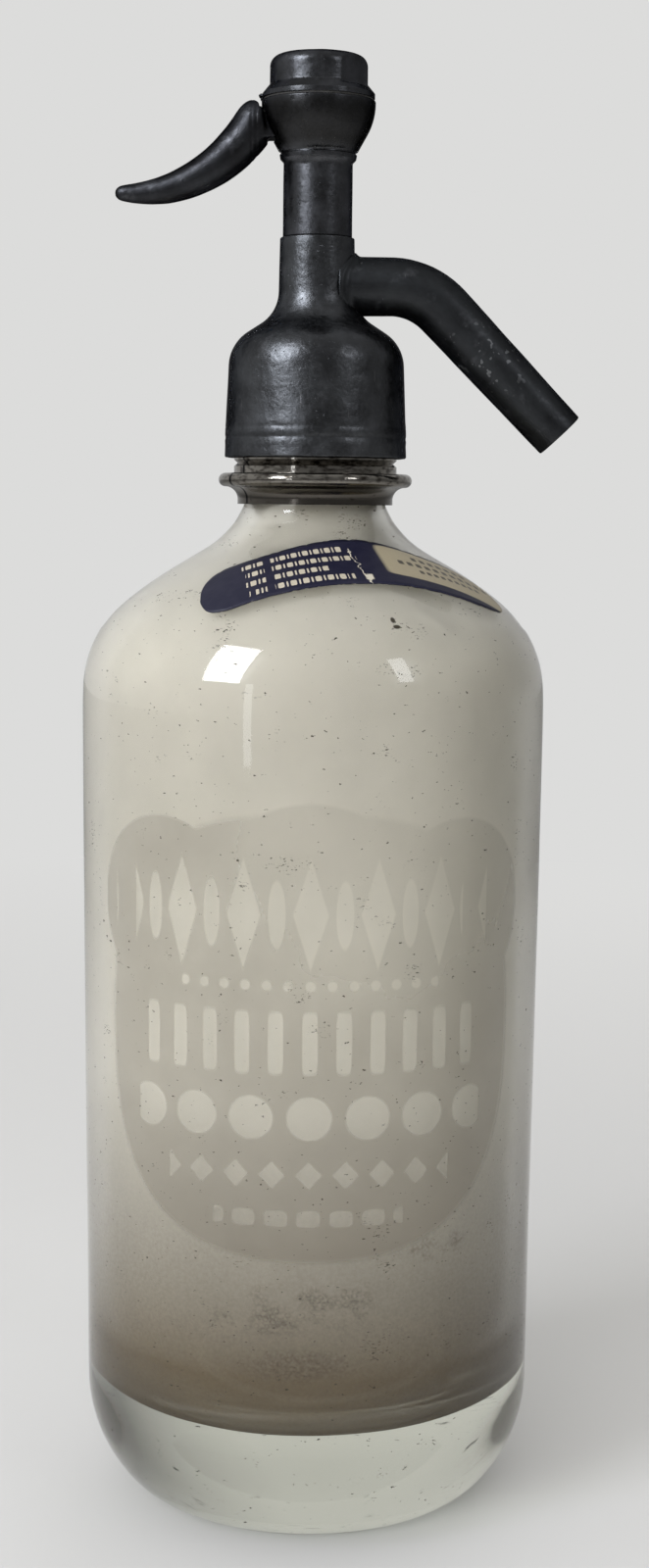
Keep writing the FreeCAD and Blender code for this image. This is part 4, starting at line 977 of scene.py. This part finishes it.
# %% Lever
VOXEL, GROWN, HORN_FROM, HORN_FADE, CORNER = 0.22, 0.22, -12.2, 1.5, (-13.2, 282.25, 1.5)
TIP_FROM, TIP_LENGTH, TIP_LONGER, TIP_RAISED = -30, 9, 0.5, 0.3
ROUNDS = ((8, 5.0), (70, -11.9))
lever = copy_of("lever", "lever_horn")
remesh = lever.modifiers.new("remesh", "REMESH")
remesh.mode, remesh.voxel_size = "VOXEL", VOXEL * MM
keep_result(lever)
repaint(lever, handled_alloy)
maker = bmesh.new()
maker.from_mesh(lever.data)
for rounds, limit in ROUNDS:
    chosen = [v for v in maker.verts if v.co.x < limit * MM]
    for _ in range(rounds):
        bmesh.ops.smooth_vert(maker, verts=chosen, factor=0.5,
                              use_axis_x=True, use_axis_y=True, use_axis_z=True)
maker.normal_update()
for vertex in maker.verts:
    x = vertex.co.x / MM
    outside = max(0.0, min(1.0, (HORN_FROM - x) / HORN_FADE))
    to_tip = max(0.0, min(1.0, (TIP_FROM - x) / TIP_LENGTH))
    vertex.co += vertex.normal * (GROWN * outside * (1 - 0.8 * to_tip) * MM)
    vertex.co.x -= TIP_LONGER * to_tip * MM
    vertex.co.z += TIP_RAISED * to_tip * MM
    out = Vector((vertex.co.x / MM - CORNER[0], vertex.co.z / MM - CORNER[1]))
    if out.x > 0 and out.y > 0 and out.length > CORNER[2]:
        out = out.normalized() * CORNER[2]
        vertex.co.x, vertex.co.z = (CORNER[0] + out.x) * MM, (CORNER[1] + out.y) * MM
maker.to_mesh(lever.data)
maker.free()
lever.data.shade_smooth()
make_uneven(lever, 0.12, 8, 12, lambda co: co.x < -13)
stand_for(lever, "lever", "lever")

# %% [markdown]
# ## The spring
# Pressing the lever lifts the stem, and the seat on the stem pushes the spring together against
# the roof of the cap. The spring here is a copy of its frame solid with a mesh of its own,
# riding on the root body in its rest shape.

# %% Spring
spring = copy_of("spring", "spring_coil")
stand_for(spring, "root", "spring")
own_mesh(spring)

# %% [markdown]
# ## Floor, light and camera
# A plain studio: a pale floor that fades into a pale background, and a room that is darker in
# front than behind, so that metal has something dark to mirror. The camera sees the plain
# background. Rays that pass through glass see it too, but darker except behind. A tall lamp
# on the left and a weaker one on the right stand for windows, with a narrow faint one low on
# the left. Two large fills, in front and behind, can't be seen in metal or through glass, where
# they would look like white sheets. Far away the floor glows like the background, so that no
# horizon shows.

# %% Background and floor
BACKGROUND, FLOOR_RADIUS, FADE = "#DCDCDB", 3.0, (0.22, 0.9)
BRIGHT_SIDE, BEHIND = (-0.55, 0.60, 0.55), (-0.50, 0.85, 0.0)
world = bpy.data.worlds.new("studio")
bpy.context.scene.world = world
world.use_nodes = True
sky = world.node_tree
sky.nodes.clear()
direction = add_node(sky, "TexCoord").outputs["Generated"]
rays = add_node(sky, "LightPath")
level = plus(remap(dot(direction, BRIGHT_SIDE), -0.6, 0.7, 0.17, 0.52),
             times(rays.outputs["Is Diffuse Ray"], 0.30))
seen = rays.outputs["Is Camera Ray"]
plain = strongest(seen, rays.outputs["Is Transmission Ray"])
shade = strongest(seen, remap(dot(direction, BEHIND), 0.2, 0.75, 0.30))
room = add_node(sky, "Background", {"Color": linear("#FFFFFF"), "Strength": level})
pale = add_node(sky, "Background", {"Color": linear(BACKGROUND), "Strength": shade})
add_node(sky, "OutputWorld", {"Surface": mix_shaders(plain, room, pale).outputs[0]})

bpy.ops.mesh.primitive_circle_add(vertices=128, radius=FLOOR_RADIUS, fill_type="NGON")
floor = bpy.context.object
floor.name = "floor"
floor_paint, tree, output, place = new_material("matt_floor_paint")
far = add_node(tree, "VectorMath", {0: place}, operation="LENGTH").outputs["Value"]
fade = remap(far, *FADE)
matt = add_node(tree, "BsdfDiffuse", {"Color": linear("#BDBCBA")})
rays = add_node(tree, "LightPath")
seen = strongest(rays.outputs["Is Camera Ray"], times(rays.outputs["Is Transmission Ray"], 0.8))
glow = add_node(tree, "Emission", {"Color": linear(BACKGROUND), "Strength": strongest(seen, 0.35)})
tree.links.new(mix_shaders(fade, matt, glow).outputs[0], output.inputs["Surface"])
floor.data.materials.append(floor_paint)

# %% Lamps
TARGET = Vector((0, 0, 0.18))


def soft_lamp(name, azimuth, elevation, distance, size, power, colour, through_glass=True,
              in_mirrors=True):
    """A rectangular lamp. Azimuth is from the front, to the right; lengths are in metres."""
    data = bpy.data.lights.new(name, "AREA")
    data.shape, data.energy, data.color = "RECTANGLE", power, linear(colour)[:3]
    data.size, data.size_y = size
    lamp = bpy.data.objects.new(name, data)
    lamp.visible_transmission, lamp.visible_glossy = through_glass, in_mirrors
    bpy.context.scene.collection.objects.link(lamp)
    side, rise = radians(azimuth), radians(elevation)
    way = Vector((sin(side) * cos(rise), -cos(side) * cos(rise), sin(rise)))
    lamp.location = TARGET + way * distance
    lamp.rotation_euler = way.to_track_quat("Z", "Y").to_euler()


soft_lamp("window_left", -46, 32, 1.2, (0.40, 0.70), 10.5, "#F4F8FF")
soft_lamp("window_low", -31, 4, 1.2, (0.08, 0.50), 0.32, "#F4F8FF", False)
soft_lamp("window_right", 47, 28, 1.6, (0.22, 0.6), 1.8, "#F8FAFF")
soft_lamp("front_fill", -15, 8, 1.3, (1.0, 1.0), 23.0, "#FFFFFF", False, False)
soft_lamp("back_fill", 165, 15, 1.3, (1.0, 1.0), 7.0, "#FFFFFF", False, False)

# %% [markdown]
# The camera stands half a metre away, a little above the middle, and looks slightly down, as
# someone who holds a telephone does. It is also turned and tilted by a fraction of a degree.

# %% Camera
CAMERA_PLACE = (0, -0.4965, 0.2054)
CAMERA_DOWN, CAMERA_SIDEWAYS, CAMERA_ROLL = 6.66, 0.288, 0.575
camera = bpy.data.objects.new("camera", bpy.data.cameras.new("camera"))
camera.data.sensor_fit, camera.data.sensor_height = "VERTICAL", 36
camera.data.lens, camera.data.clip_start = 56, 0.01
camera.matrix_world = (
    Matrix.Translation(CAMERA_PLACE)
    @ Matrix.Rotation(radians(-CAMERA_SIDEWAYS), 4, "Z")
    @ Matrix.Rotation(radians(90 - CAMERA_DOWN), 4, "X")
    @ Matrix.Rotation(radians(CAMERA_ROLL), 4, "Z")
)
bpy.context.scene.collection.objects.link(camera)
bpy.context.scene.camera = camera
bpy.context.scene.view_settings.view_transform = "Standard"
